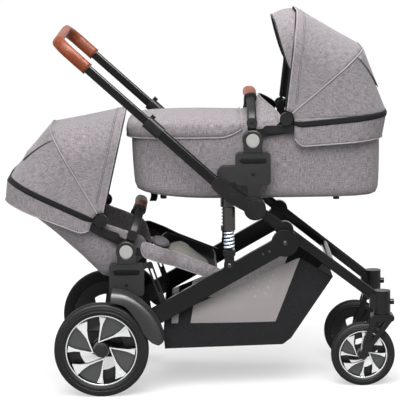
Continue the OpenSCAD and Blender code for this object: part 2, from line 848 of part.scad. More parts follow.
module height_collars() {
  color("#2a2c30") arm_frame() side() translate([-arm_drop, -arm_y, 0]) {
    difference() {
      translate([0, 0, collar_at - collar_len / 2]) linear_extrude(collar_len)
        rotate(90) oval(arm_w + 2 * collar_t, arm_h + 2 * collar_t);
      linear_extrude(collar_at + fit) rotate(90) oval(arm_w + 2 * fit, arm_h + 2 * fit);
      linear_extrude(collar_at + collar_len) rotate(90) oval(tube_w + 2 * clear, tube_h + 2 * clear);
    }
    translate([arm_h / 2 + collar_t - clear, -tab_w / 2, collar_at + collar_len / 2 - tab_l])
      cube([tab_h, tab_w, tab_l]);
  }
}

// Telescoping handle and its grip
module handle_u(w, h, from) translate([-arm_drop, 0, 0]) u_tube(arm_y, from, bar_reach, bend_r, w, h);
module handle_tube() color("#202227") arm_frame() handle_u(tube_w, tube_h, tube_from);
module handle_grip() color("#8a5a33") arm_frame() difference() {
  handle_u(tube_w + 2 * pad_t, tube_h + 2 * pad_t, bar_reach - grip_leg);
  handle_u(tube_w + 2 * fit, tube_h + 2 * fit, bar_reach - grip_leg - pad_t);
}

// Seat unit: side rail with its pins, plug adapter, button, safety bar and bows
module unit_rails(rest) {
  color("#1f2125") side() {
    plate(rail_in, rail_in + rail_t) {
      circle(hub_disc_r);
      bar2d([0, rail_b * half_share], [rail_end, rail_b], rail_h / 2);
      bar2d([hinge[0], rail_b], hinge, hinge_lug_r);
      bar2d([0, 0], bar_p, hinge_lug_r);
    }
    plate(rail_in + rail_t, rail_in + rail_thick) bar2d([rail_start, rail_b], [rail_end, rail_b],
      rail_h / 2 - layer_gap);
    plate(rest ? seat_half : cot_w / 2, rail_in) at2(rivet_p) circle(rivet_r);
    plate(rail_in + rail_t, plug_in + tilt_pin_l) circle(tilt_pin_r);
    plate(rail_in + rail_t, bar_y + bar_eye_t / 2) at2(bar_p) circle(bar_pin_r);
    plate(rail_in + rail_t, cap_in) at2(hinge) circle(hinge_r);
    plate(cap_in, cap_in + hood_cap_t) at2(hinge) circle(hood_cap_r);
    if (rest) {
      plate(rail_in, rail_in + rail_t) bar2d([0, 0], rest_p, rest_arm);
      plate(rest_half - rest_pin_in, rail_in) at2(rest_p) circle(rest_pin);
    }
  }
}
module unit_adapters() {
  mid = plug_in + plug_w / 2;
  color("#3a3d42") side() {
    difference() {
      plate(plug_in, plug_out) {
        circle(house_plug_r);
        translate([-tongue_w / 2 - pad_t, sock_top + clear]) square([tongue_w + 2 * pad_t,
          -sock_top - clear]);
      }
      plate(plug_in - clear, plug_in + tilt_pin_l + clear) circle(tilt_pin_r + run);
      plate(plug_out - button_room, plug_out + clear) circle(button_r + button_fit);
    }
    plate(mid - tongue_t / 2, mid + tongue_t / 2)
      translate([-tongue_w / 2, sock_top - tongue_h]) square([tongue_w, tongue_h + clear]);
  }
}
module unit_button() color("#c9ccd0") plate(plug_out - button_t, plug_out) circle(button_r);
// Safety bar: an oval tube bent into one arch, with a sleeve of leather over its middle
function bar_mid(i) = let (t = 180 * i / bar_n)
  [0, -bar_y * cos(t), bar_foot + (bar_rise - bar_foot) * sin(t)];
function bar_out(i) = let (t = 180 * i / bar_n, n = [-cos(t) / bar_y, sin(t) / (bar_rise - bar_foot)])
  n / norm(n);
function bar_ring(c, n, w, h) = [for (k = [0:bar_m - 1]) let (q = 360 * k / bar_m,
    u = w / 2 * cos(q), v = w / 2 * sin(q) + sign(round(bar_m * sin(q))) * (h - w) / 2)
  c + [v, n[0] * u, n[1] * u]];
function bar_run(i, j, w, h) = [for (k = [i:j]) bar_ring(bar_mid(k), bar_out(k), w, h)];
function bar_end(y, w, h) = [bar_ring([0, y, 0], [sign(y), 0], w, h)];
module unit_bar() {
  color("#1f2125") bar_frame() difference() {
    union() {
      skin(concat(bar_end(-bar_y, bar_thin, bar_wide), bar_run(0, bar_n, bar_thin, bar_wide),
        bar_end(bar_y, bar_thin, bar_wide)));
      side() plate(bar_y - bar_eye_t / 2 + clear, bar_y + bar_eye_t / 2) circle(bar_eye_r);
    }
    side() plate(plug_in - clear, plug_out) circle(bar_pin_r + run);
  }
}
module unit_bar_grip() color("#8a5a33") bar_frame() difference() {
  skin(bar_run(bar_held, bar_n - bar_held, bar_thin + 2 * bar_pad, bar_wide + 2 * bar_pad));
  skin(bar_run(bar_held - 1, bar_n - bar_held + 1, bar_thin + 2 * fit, bar_wide + 2 * fit));
}
module unit_bow(y, angle, reach) color("#17181b") hinge_frame(angle) difference() {
  union() {
    u_tube(y, hinge_r, reach - bow_under, bow_round - bow_side, bow_t, bow_d);
    side() plate(y - bow_t / 2, y + bow_t / 2) circle(eye_bow_r);
  }
  side() plate(plug_in - clear, plug_out) circle(hinge_r + run);
}

// Hood cloth: sheets stretched between arches that all turn about the hinge
function arch(r, w, c) = let (half = concat(
    [for (i = [0:leg_n - 1]) [hood_root + (r - c - hood_root) * i / leg_n, -w]],
    [for (i = [0:arc_n - 1]) let (a = 90 * i / arc_n) [r - c + c * sin(a), c - w - c * cos(a)]],
    [for (i = [0:top_n / 2 - 1]) [r, (c - w) * (1 - 2 * i / top_n)]]))
  concat(half, [[r, 0]], [for (i = [len(half) - 1:-1:0]) [half[i][0], -half[i][1]]]);
function lean(pts, a) = [for (p = pts) [hinge[0] + p[0] * cos(a), p[1], hinge[1] + p[0] * sin(a)]];
function mix(a, b, t) = [for (i = [0:len(a) - 1]) a[i] * (1 - t) + b[i] * t];
function drawn(a, b, t) = [for (p = mix(a, b, t)) let (k = 1 - hood_sag_share * sin(180 * t))
  [hinge[0] + (p[0] - hinge[0]) * k, p[1], hinge[1] + (p[2] - hinge[1]) * k]];
hood_bows = [[hood_base_r, hem_angle], [hood_mid_r, hood_mid_angle], [hood_front_r, hood_front_angle]];
function hood_arch(k, t) = lean(arch(hood_bows[k][0] - t, hood_half - t, bow_round - t), hood_bows[k][1]);
panel_n = 3;
function hood_rows(t) = [for (k = [1, 0], i = [0:panel_n - 1]) drawn(hood_arch(k + 1, t), hood_arch(k,
  t), i / panel_n)];
module hood_cloth() {
  outer = concat(hood_rows(0), [hood_arch(0, 0)]);
  inner = concat(hood_rows(cloth_t), [hood_arch(0, cloth_t)]);
  color("#a8a3a6") sheet(inner, outer);
}
function skirt_low(t) = [for (p = lean(arch(hood_base_r - skirt_in - t, hood_half - skirt_in / 4 - t,
  bow_round - t), 0))
  [p[0], p[1], p[2] - skirt_h]];
module cot_hood_canopy() cot_frame() {
  outer = concat(hood_rows(0), [hood_arch(0, 0), mix(hood_arch(0, 0), skirt_low(0), half_share),
    skirt_low(0)]);
  inner = concat(hood_rows(cloth_t),
    [hood_arch(0, cloth_t), mix(hood_arch(0, cloth_t), skirt_low(cloth_t), half_share),
      skirt_low(cloth_t)]);
  color("#a8a3a6") sheet(inner, outer);
}
module seat_hood_canopy() seat_frame() hood_cloth();
// Visor: widest over the face, run out on both sides
function visor_rows(t) = let (a = arch(hood_front_r - visor_tuck - t, hood_half - layer_gap - cloth_t - t,
      bow_round - visor_tuck - t),
    c = hood_front_angle)
  [for (i = [0:visor_n]) [for (p = a)
    let (k = pow(max(visor_side_share, (p[0] - hood_root) / (hood_front_r - hood_root)), visor_power_share),
      g = k * visor_reach * i / visor_n + visor_seat)
    [hinge[0] + p[0] * cos(c) - g * sin(c), p[1] * (1 - g / visor_narrow),
      hinge[1] + p[0] * sin(c) + g * cos(c) - g * g / visor_droop]]];
module cot_hood_visor() color("#a8a3a6") cot_frame() sheet(visor_rows(0), visor_rows(cloth_t));

// Carrycot body
corner_power_share = 4.2;
function cot_rise(x) = cot_rocker * pow(max(0, (cot_level - x) / (cot_back + cot_level)), 2);
function cot_ring(b, inset) = let (t = (rim_b - b) / (rim_b + cot_deep))
  [for (p = outline(inset - cot_back + cot_taper * t, cot_front - inset - cot_taper * 0.3 * t,
    cot_w / 2 - inset - cot_taper * 0.7 * t, cot_power_share)) [p[0], p[1], b + cot_rise(p[0]) * t]];
module cot_shell() {
  color("#a8a3a6") cot_frame() skin([cot_ring(-cot_deep, cot_corner),
    cot_ring(-cot_deep + cot_corner * 0.1, cot_corner * 0.56),
    cot_ring(-cot_deep + cot_corner * 0.44, cot_corner * 0.1), cot_ring(-cot_deep + cot_corner, 0),
    cot_ring(rim_b, 0), cot_ring(rim_b, cot_wall), cot_ring(-cot_deep + cot_corner, cot_wall),
    cot_ring(-cot_deep + cot_floor, cot_corner + cot_wall * half_share)]);
}
module cot_mattress() {
  z = -cot_deep + cot_floor + mat_seat;
  color("#e6e4e2") cot_frame() skin([cot_ring(z, cot_corner + cot_wall + mat_gap),
    cot_ring(z + mat_h * 0.3, cot_corner + mat_gap), cot_ring(z + mat_h * 0.75, cot_corner + mat_gap),
    cot_ring(z + mat_h * 0.95, cot_corner * 1.4), cot_ring(z + mat_h, cot_corner * 2.2)]);
}
// Apron over the foot end, with a wind collar that stands behind the safety bar
apron_y_shares = [-1, -1, -0.985, -0.9, -0.72, -0.45, 0, 0.45, 0.72, 0.9, 0.985, 1, 1];
apron_up_shares = [0, 0.62, 0.8, 0.9, 0.95, 0.98, 1, 0.98, 0.95, 0.9, 0.8, 0.62, 0];
apron_end_y_shares = [-1, -0.95, -0.89, -0.8, -0.63, -0.38, 0, 0.38, 0.63, 0.8, 0.89, 0.95, 1];
apron_run_shares = [0, 0.3, 0.52, 0.67, 0.78, 0.86, 0.92, 0.965, 0.99];
cot_mid = (cot_front - cot_back) / 2;
function apron_half(x, t) = (cot_w / 2 + apron_gap + cloth_t - t) * pow(1 - pow((cot_mid - x) / (cot_mid
  + cot_back + apron_foot_gap + cloth_t - t), cot_power_share), 1 / cot_power_share);
function apron_row(s, t) = let (x = apron_to - (cot_back + apron_to + apron_foot_gap + cloth_t - t) * s,
    w = apron_half(x, t),
    h = apron_top + (apron_back - apron_top) * s - t)
  [for (i = [0:len(apron_y_shares) - 1]) [x, apron_y_shares[i] * w, apron_hem + (h - apron_hem)
    * apron_up_shares[i]]];
function apron_end(t) = let (x = -cot_back - apron_foot_gap - cloth_t + t, w =
  (cot_w / 2 + apron_gap + cloth_t - t) * apron_end_share)
  [for (y = apron_end_y_shares) [x, y * w, apron_hem]];
function apron_lip(s, t) = [for (i = [0:len(apron_y_shares) - 1]) let (y = apron_y_shares[i], u =
  apron_up_shares[i], q = y * y)
  [apron_to + s * ((collar_tip[0] - apron_to) * (1 - q) + (collar_side[0] - apron_to)
    * q * (0.45 + 0.55 * u)),
    y * (cot_w / 2 + apron_gap + cloth_t - t),
    (1 - s) * (apron_hem + (apron_top - t - apron_hem) * u)
      + s * (u < 0.7 ? rim_b * (half_share + 1.65 * u) : collar_tip[1] * (1 - q)
        + collar_side[1] * q - t)]];
module cot_apron() {
  rows = function (t) concat([apron_lip(1, t), apron_lip(half_share, t)], [for (s = apron_run_shares)
    apron_row(s, t)], [apron_end(t)]);
  color("#a39ea1") cot_frame() sheet(rows(0), rows(cloth_t));
}
module cot_feet() color("#1c1d20") cot_frame() for (s = foot_shares, y = [-foot_y, foot_y])
  translate([s * cot_back, y, cot_rise(s * cot_back + foot_r) - cot_deep - foot_h - fit]) cylinder(r = foot_r, h = foot_h);

// Rear seat: a padded tub that is deepest at the hips, and the leg rest beyond it
function seat_z_at(s) = let (i = max([for (k = [0:len(seat_low_shares) - 2]) s >=
  seat_low_shares[k][0] ? k : 0]),
    p = seat_low_shares[i], q = seat_low_shares[i + 1])
  -seat_deep * (p[1] + (q[1] - p[1]) * (s - p[0]) / (q[0] - p[0]));
function seat_rim_at(x) = seat_rim + seat_rim_share * x;
function seat_ring(f, inset, lift) = [for (p = outline(seat_toe + inset, seat_head - inset * 0.7,
  seat_half - inset, corner_power_share))
  [p[0], p[1], seat_rim_at(p[0]) * (1 - f) + (seat_z_at(p[0] / seat_head) + lift) * f]];
module seat_shell() {
  color("#9b979a") seat_frame() skin([seat_ring(1, seat_half * 0.42, 0), seat_ring(0.93,
    seat_half * 0.2, 0),
    seat_ring(0.75, seat_half * 0.08, 0), seat_ring(seat_belly_share, 0, 0), seat_ring(0, 0, 0),
      seat_ring(0, seat_wall, 0),
    seat_ring(seat_belly_share, seat_wall, 0), seat_ring(0.72, seat_half * 0.08 + seat_wall, 0),
    seat_ring(0.9, seat_half * 0.2 + seat_wall, seat_wall), seat_ring(1, seat_half * 0.42, seat_wall)]);
}
module seat_pad() {
  g = seat_wall + pad_gap;
  color("#77747a") seat_frame() skin([seat_ring(1, seat_half * 0.46, g), seat_ring(1,
    seat_half * 0.3 + g, g + pad_h * 0.5),
    seat_ring(1, seat_half * 0.36, g + pad_h * 0.9), seat_ring(1, seat_half * 0.56, g + pad_h)]);
}
module leg_rest() {
  x1 = rest_p[0] - rest_front;
  x0 = x1 - rest_len;
  rest = function (b, inset) [for (p = outline(x0 + inset, x1 - inset, rest_half - inset, 5))
    [p[0], p[1], rest_p[1] + rest_drop_share * (p[0] - x1) + b]];
  color("#9b979a") seat_frame() difference() {
    union() {
      skin([rest(-rest_t / 2, rest_t * half_share), rest(-rest_t * 0.3, rest_t * 0.1),
        rest(rest_t * 0.2, 0),
        rest(rest_t * 0.42, rest_t * 0.3), rest(rest_t / 2, rest_t)]);
      plate(-rest_half, rest_half) at2(rest_p) circle(rest_barrel);
    }
    side() plate(rest_half - rest_pin_in - clear, rest_half + clear) at2(rest_p) circle(rest_pin + run);
  }
}

place() front_legs();
place() knuckles();
place() caster_housings();
place() pivot_pins();
place() swing_arms();
place() rear_axle();
place() fenders();
place() seat_receivers();
place() receiver_braces();
place() basket();
place() brake_pedal();
place() strut_sleeve();  // strut_sleeve_right
place() left() strut_sleeve();  // strut_sleeve_left
place() strut_rod();  // strut_rod_right
place() left() strut_rod();  // strut_rod_left
place() strut_spring();  // strut_spring_right
place() left() strut_spring();  // strut_spring_left
place() rear_tyre();  // rear_tyre_right
place() rear_rim();  // rear_rim_right
place() left() rear_tyre();  // rear_tyre_left
place() left() rear_rim();  // rear_rim_left
place() front_tyre();  // front_tyre_right
place() front_rim();  // front_rim_right
place() left() front_tyre();  // front_tyre_left
place() left() front_rim();  // front_rim_left
place() caster_fork();  // caster_fork_right
place() left() caster_fork();  // caster_fork_left
place() caster_lock();  // caster_lock_right
place() left() caster_lock();  // caster_lock_left
place() push_arms();
place() arm_shoes();
place() height_collars();
place() handle_tube();
place() handle_grip();
place() cot_shell();
place() cot_mattress();
place() cot_apron();
place() cot_frame() unit_rails(false);  // cot_rails
place() cot_frame() unit_adapters();  // cot_adapters
place() cot_feet();
place() cot_frame() unit_button();  // cot_button_right
place() left() cot_frame() unit_button();  // cot_button_left
place() cot_frame() unit_bar();  // cot_bar
place() cot_frame() unit_bar_grip();  // cot_bar_grip
place() cot_frame() unit_bow(front_y,  // cot_hood_front_bow
  hood_front_angle, hood_front_r);
place() cot_frame() unit_bow(mid_y, hood_mid_angle,  // cot_hood_middle_bow
  hood_mid_r);
place() cot_hood_canopy();
place() cot_hood_visor();
place() seat_shell();
place() seat_pad();
place() leg_rest();
place() seat_frame() unit_rails(true);  // seat_rails
place() seat_upright() unit_adapters();  // seat_adapters
place() seat_upright() unit_button();  // seat_button_right
place() left() seat_upright() unit_button();  // seat_button_left
place() seat_frame() unit_bar();  // seat_bar
place() seat_frame() unit_bar_grip();  // seat_bar_grip
place() seat_frame() unit_bow(front_y,  // seat_hood_front_bow
  hood_front_angle, hood_front_r);
place() seat_frame() unit_bow(mid_y,  // seat_hood_middle_bow
  hood_mid_angle, hood_mid_r);
place() seat_hood_canopy();
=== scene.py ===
"""Twin pram: a hooded carrycot above a reclined hooded seat on one sprung folding chassis."""

import json
from math import atan2, copysign, cos, degrees, pi, radians, sin

import bmesh
import bpy
import numpy as np
from mathutils import Matrix, Quaternion, Vector
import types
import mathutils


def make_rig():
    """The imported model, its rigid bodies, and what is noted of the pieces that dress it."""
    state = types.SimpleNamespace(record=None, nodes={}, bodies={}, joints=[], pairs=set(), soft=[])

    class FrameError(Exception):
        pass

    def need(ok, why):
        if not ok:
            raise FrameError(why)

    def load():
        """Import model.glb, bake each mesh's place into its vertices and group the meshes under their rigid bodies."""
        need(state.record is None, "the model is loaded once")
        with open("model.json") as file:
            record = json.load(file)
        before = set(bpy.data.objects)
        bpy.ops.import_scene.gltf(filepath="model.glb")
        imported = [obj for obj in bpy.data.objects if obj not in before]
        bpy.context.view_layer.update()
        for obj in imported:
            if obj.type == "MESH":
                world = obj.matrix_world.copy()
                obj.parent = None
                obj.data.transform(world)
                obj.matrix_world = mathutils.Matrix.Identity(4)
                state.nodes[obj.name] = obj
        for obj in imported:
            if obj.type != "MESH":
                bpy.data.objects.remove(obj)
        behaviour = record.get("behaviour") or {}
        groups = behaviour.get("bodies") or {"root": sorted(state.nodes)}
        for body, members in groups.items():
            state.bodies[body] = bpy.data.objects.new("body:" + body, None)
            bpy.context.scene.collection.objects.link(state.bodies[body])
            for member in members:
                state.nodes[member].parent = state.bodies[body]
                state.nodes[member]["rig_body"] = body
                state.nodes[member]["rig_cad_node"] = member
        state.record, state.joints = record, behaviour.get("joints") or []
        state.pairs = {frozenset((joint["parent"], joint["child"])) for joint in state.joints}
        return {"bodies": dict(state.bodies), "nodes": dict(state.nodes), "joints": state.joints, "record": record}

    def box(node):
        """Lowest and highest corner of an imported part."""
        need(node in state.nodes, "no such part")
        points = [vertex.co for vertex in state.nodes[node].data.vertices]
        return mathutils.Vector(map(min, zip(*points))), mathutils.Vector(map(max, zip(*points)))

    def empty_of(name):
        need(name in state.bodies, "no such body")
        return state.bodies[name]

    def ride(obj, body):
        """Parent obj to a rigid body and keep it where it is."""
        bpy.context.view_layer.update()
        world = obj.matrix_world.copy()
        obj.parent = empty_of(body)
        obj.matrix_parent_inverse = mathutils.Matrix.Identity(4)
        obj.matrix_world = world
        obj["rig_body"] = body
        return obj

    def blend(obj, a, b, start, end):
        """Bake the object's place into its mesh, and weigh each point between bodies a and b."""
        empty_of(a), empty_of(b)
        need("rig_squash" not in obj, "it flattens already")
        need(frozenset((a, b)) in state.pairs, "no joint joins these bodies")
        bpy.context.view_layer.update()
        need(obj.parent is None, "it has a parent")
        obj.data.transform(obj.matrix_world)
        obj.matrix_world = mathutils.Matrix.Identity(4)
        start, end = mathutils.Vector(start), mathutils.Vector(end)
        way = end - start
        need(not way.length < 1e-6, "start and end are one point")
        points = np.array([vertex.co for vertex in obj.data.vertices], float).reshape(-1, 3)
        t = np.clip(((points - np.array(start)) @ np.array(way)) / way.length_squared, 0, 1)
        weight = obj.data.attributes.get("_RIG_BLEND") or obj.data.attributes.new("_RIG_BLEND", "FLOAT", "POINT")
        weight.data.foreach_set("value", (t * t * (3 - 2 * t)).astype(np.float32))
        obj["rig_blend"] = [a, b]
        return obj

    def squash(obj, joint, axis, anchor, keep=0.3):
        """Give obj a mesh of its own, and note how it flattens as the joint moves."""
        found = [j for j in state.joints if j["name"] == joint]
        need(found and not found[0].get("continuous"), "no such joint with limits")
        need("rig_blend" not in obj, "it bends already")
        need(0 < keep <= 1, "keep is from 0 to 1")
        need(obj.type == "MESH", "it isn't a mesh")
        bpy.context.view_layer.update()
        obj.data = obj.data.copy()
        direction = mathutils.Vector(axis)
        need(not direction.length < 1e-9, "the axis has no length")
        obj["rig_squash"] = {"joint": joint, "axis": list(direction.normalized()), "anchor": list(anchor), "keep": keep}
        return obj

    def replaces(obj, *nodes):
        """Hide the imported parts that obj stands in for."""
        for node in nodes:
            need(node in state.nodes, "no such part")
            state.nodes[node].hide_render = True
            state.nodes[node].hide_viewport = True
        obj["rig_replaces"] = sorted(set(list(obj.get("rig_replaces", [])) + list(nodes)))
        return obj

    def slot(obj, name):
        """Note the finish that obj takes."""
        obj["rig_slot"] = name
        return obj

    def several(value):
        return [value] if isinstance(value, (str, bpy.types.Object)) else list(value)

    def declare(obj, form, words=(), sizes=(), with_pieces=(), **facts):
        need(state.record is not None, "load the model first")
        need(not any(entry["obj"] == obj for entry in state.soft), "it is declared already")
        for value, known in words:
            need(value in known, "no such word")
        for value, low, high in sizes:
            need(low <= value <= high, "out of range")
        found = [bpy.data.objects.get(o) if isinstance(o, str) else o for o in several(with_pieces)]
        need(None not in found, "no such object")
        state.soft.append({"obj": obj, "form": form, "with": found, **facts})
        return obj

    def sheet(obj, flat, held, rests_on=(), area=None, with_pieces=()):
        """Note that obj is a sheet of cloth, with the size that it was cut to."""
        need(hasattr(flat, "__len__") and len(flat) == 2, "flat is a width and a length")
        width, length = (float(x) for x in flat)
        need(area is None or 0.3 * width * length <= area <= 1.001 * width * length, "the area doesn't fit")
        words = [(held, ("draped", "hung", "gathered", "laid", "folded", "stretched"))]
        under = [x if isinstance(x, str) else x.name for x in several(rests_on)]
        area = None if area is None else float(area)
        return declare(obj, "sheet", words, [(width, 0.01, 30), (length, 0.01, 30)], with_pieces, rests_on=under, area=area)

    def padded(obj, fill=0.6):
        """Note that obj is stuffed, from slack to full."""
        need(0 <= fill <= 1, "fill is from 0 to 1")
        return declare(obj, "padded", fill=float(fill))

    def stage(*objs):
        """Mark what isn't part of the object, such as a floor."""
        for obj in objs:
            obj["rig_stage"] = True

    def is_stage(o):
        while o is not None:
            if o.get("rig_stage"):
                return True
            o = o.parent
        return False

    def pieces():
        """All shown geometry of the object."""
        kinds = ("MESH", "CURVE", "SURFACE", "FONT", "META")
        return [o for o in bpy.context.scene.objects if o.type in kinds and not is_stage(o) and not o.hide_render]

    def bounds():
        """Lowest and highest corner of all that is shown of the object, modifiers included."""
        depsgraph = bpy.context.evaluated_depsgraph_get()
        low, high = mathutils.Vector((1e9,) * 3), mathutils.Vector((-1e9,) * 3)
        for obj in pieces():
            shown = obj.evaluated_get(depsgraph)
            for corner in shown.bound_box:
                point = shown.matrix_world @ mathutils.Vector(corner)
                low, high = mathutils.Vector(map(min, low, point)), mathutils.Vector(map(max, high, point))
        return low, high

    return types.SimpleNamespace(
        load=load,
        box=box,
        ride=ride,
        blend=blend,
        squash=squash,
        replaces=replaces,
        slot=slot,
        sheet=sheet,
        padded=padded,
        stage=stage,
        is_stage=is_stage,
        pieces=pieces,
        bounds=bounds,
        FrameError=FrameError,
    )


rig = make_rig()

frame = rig.load()
cad_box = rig.bounds()
nodes = frame["nodes"]
pivot = {j["name"]: Vector(j["pos_m"]) for j in frame["joints"] if "pos_m" in j}
mm = 0.001

# Studio: a white paper floor that keeps the pram's shadow, an even white surround, soft boxes
# above and in front, and a long lens at the height of a standing person.
scene = bpy.context.scene
scene.view_settings.view_transform = "Standard"


def put(thing, **settings):
    """Sets several properties of a thing, and returns it."""
    for key, value in settings.items():
        setattr(thing, key, value)
    return thing


def feed(tree, node, sockets):
    """Sets a node's sockets, by name or number; one that is given another node's socket is linked."""
    for key, value in sockets.items():
        if isinstance(value, bpy.types.NodeSocket):
            tree.links.new(value, node.inputs[key])
        else:
            node.inputs[key].default_value = value


def add(tree, kind, sockets, **settings):
    """Adds one shader node with its settings and its sockets."""
    made = put(tree.nodes.new("ShaderNode" + kind), **settings)
    feed(tree, made, sockets)
    return made


def calc(tree, operation, *values):
    """The result of one sum on sockets or numbers."""
    return add(tree, "Math", dict(enumerate(values)), operation=operation).outputs[0]


def spread(tree, value, low, high, start=0.0, end=1.0):
    """A result that runs from low to high while the value runs from start to end."""
    return add(tree, "MapRange", {"Value": value, "From Min": start, "From Max": end,
                                  "To Min": low, "To Max": high}).outputs[0]


def new_finish(name, **sockets):
    """A material with one principled shader whose plain values are set."""
    material = bpy.data.materials.new(name)
    material.use_nodes = True
    shader = material.node_tree.nodes["Principled BSDF"]
    feed(material.node_tree, shader, {key.replace("_", " "): value for key, value in sockets.items()})
    return material, material.node_tree, shader


def plainly_seen(tree):
    """One for rays that show the studio itself: straight, mirrored or through a gap in a mesh."""
    ray = add(tree, "LightPath", {}).outputs
    mirrored = calc(tree, "MAXIMUM", ray["Is Camera Ray"], ray["Is Glossy Ray"])
    return calc(tree, "MAXIMUM", mirrored, ray["Is Transmission Ray"])


world = bpy.data.worlds.new("surround")
scene.world = world
world.use_nodes = True
sky = world.node_tree
white = (1, 1, 1, 1)
sky_light = 0.45
feed(sky, sky.nodes["Background"], {"Color": white,
                                    "Strength": spread(sky, plainly_seen(sky), sky_light, 1)})

floor_half = 45
bm = bmesh.new()
bmesh.ops.create_grid(bm, x_segments=2, y_segments=2, size=floor_half)
floor = bpy.data.objects.new("floor", bpy.data.meshes.new("floor"))
bm.to_mesh(floor.data)
bm.free()
scene.collection.objects.link(floor)
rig.stage(floor)
paper, tree, shader = new_finish("studio_paper", Roughness=0.9)
paper_in_light, paper_in_view = 0.32, 0.9
glow_strength, glow_share = 1.2, 0.4
feed(tree, shader, {"Base Color": spread(tree, plainly_seen(tree), paper_in_light, paper_in_view)})
glow = add(tree, "Emission", {"Color": white, "Strength": glow_strength})
both = add(tree, "MixShader", {"Fac": calc(tree, "MULTIPLY", plainly_seen(tree), glow_share),
                               1: shader.outputs[0], 2: glow.outputs[0]})
feed(tree, tree.nodes["Material Output"], {"Surface": both.outputs[0]})
floor.data.materials.append(paper)


def lamp(name, kind, power, place, lights, **settings):
    """A studio lamp that looks at the pram and lights only the matt or only the glossy look."""
    data = put(bpy.data.lights.new(name, kind), energy=power, **settings)
    turn = (lamp_aim - Vector(place)).to_track_quat("-Z", "Y").to_euler()
    scene.collection.objects.link(put(
        bpy.data.objects.new(name, data), location=place, rotation_euler=turn,
        visible_diffuse=lights == "matt", visible_glossy=lights == "gloss"))


lamp_aim = Vector((0, 0, 0.55))
lamp("key", "SUN", 2.3, (-0.5, -4, 4.4), "matt", angle=radians(40))
lamp("top_box", "AREA", 52, (0.1, 0.0, 3.0), "matt", shape="RECTANGLE", size=2.6, size_y=0.8)
lamp("front_box", "AREA", 14, (-1.2, -3.6, 1.6), "matt", shape="RECTANGLE", size=0.9, size_y=1.8)
lamp("gloss_box", "AREA", 800, (0.1, -1.5, 2.7), "gloss", shape="RECTANGLE", size=3.2, size_y=1.5)

rear_axle = Vector((pivot["rear_wheel_right"].x, 0, pivot["rear_wheel_right"].z))
photo_aim = Vector((rear_axle.x + 0.3082, 0, 0.5613))
photo_azimuth, photo_elevation, photo_roll = radians(-0.2347), radians(8.6261), radians(0.7134)
photo_distance = 7.104
back = Vector((sin(photo_azimuth) * cos(photo_elevation), -cos(photo_azimuth) * cos(photo_elevation),
               sin(photo_elevation)))
camera = bpy.data.objects.new("camera", bpy.data.cameras.new("camera"))
put(camera.data, lens=202.5, sensor_width=36, clip_end=200)
put(camera, location=photo_aim + back * photo_distance, rotation_mode="QUATERNION",
    rotation_quaternion=(-back).to_track_quat("-Z", "Y") @ Quaternion((0, 0, 1), -photo_roll))
scene.collection.objects.link(camera)
scene.camera = camera


# Tubes: oval aluminium, drawn, bent and black anodised, with a faint drawn grain and a soft sheen.
# Front legs, swing arms, push arms and the telescoping handle.
def group(name, inputs, outputs):
    """An empty shader node group with named sockets: the group, its inputs and its output node."""
    made = bpy.data.node_groups.new(name, "ShaderNodeTree")
    for way, sockets in (("INPUT", inputs), ("OUTPUT", outputs)):
        for label, kind in sockets.items():
            made.interface.new_socket(label, in_out=way, socket_type="NodeSocket" + kind)
    return made, made.nodes.new("NodeGroupInput").outputs, made.nodes.new("NodeGroupOutput")


grain, take, give = group("surface_grain", {"Vector": "Vector", "Fine": "Float", "Slow": "Float"},
                          {"Height": "Float", "Tone": "Float"})
fine = add(grain, "TexNoise", {"Vector": take["Vector"], "Scale": take["Fine"], "Detail": 3,
                               "Roughness": 0.6})
slow = add(grain, "TexNoise", {"Vector": take["Vector"], "Scale": take["Slow"], "Detail": 4})
feed(grain, give, {"Height": fine.outputs["Fac"], "Tone": slow.outputs["Fac"]})
drift_scale, drift_span = 9, (0.3, 0.7)
grain_deep = 0.4


def between(tree, share, dark, light):
    """A colour between a dark and a light one."""
    return add(tree, "Mix", {"Factor": share, 6: (*dark, 1), 7: (*light, 1)}, data_type="RGBA").outputs[2]


def relief(tree, height, strength, deep, **more):
    """The normal of a relief that is deep millimetres high."""
    sockets = {"Height": height, "Strength": strength, "Distance": deep * mm, **more}
    return add(tree, "Bump", sockets).outputs["Normal"]


def grained(name, dark, light, rough, fine_scale, bump, rough_span=0.06, **sockets):
    """A hard finish: tone and gloss drift slowly over it, and a fine relief lies on top."""
    material, tree, shader = new_finish(name, **sockets)
    place = add(tree, "TexCoord", {}).outputs["Object"]
    made = add(tree, "Group", {"Vector": place, "Fine": fine_scale, "Slow": drift_scale}, node_tree=grain)
    tone, height = made.outputs["Tone"], made.outputs["Height"]
    feed(tree, shader, {
        "Base Color": between(tree, tone, dark, light),
        "Roughness": spread(tree, tone, rough - rough_span, rough + rough_span, *drift_span),
        "Normal": relief(tree, height, bump, grain_deep)})
    return material


def dress(material, slot, edge, *names):
    """Gives solids one finish, and the small radius that their moulded or drawn edges have."""
    for name in names:
        solid = nodes[name]
        solid.data.materials.clear()
        solid.data.materials.append(material)
        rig.slot(solid, slot)
        put(solid.modifiers.new("weld", "WELD"), merge_threshold=0.01 * mm)
        put(solid.modifiers.new("flat", "DECIMATE"), decimate_type="DISSOLVE", angle_limit=radians(0.5))
        put(solid.modifiers.new("radius", "BEVEL"), width=edge * mm, segments=2 if edge < 3 else 4,
            limit_method="ANGLE", angle_limit=radians(38))
        put(solid.modifiers.new("even", "WEIGHTED_NORMAL"), weight=100, keep_sharp=True)
        solid.data.shade_smooth()


anodised = grained("black_anodised", (0.004, 0.004, 0.004), (0.008, 0.0077, 0.0077), 0.2, 1600, 0.06,
                   rough_span=0.03, Specular_IOR_Level=0.15)
dress(anodised, "tube", 1.2, "front_legs", "push_arms", "handle_tube")
dress(anodised, "tube", 4, "swing_arms")

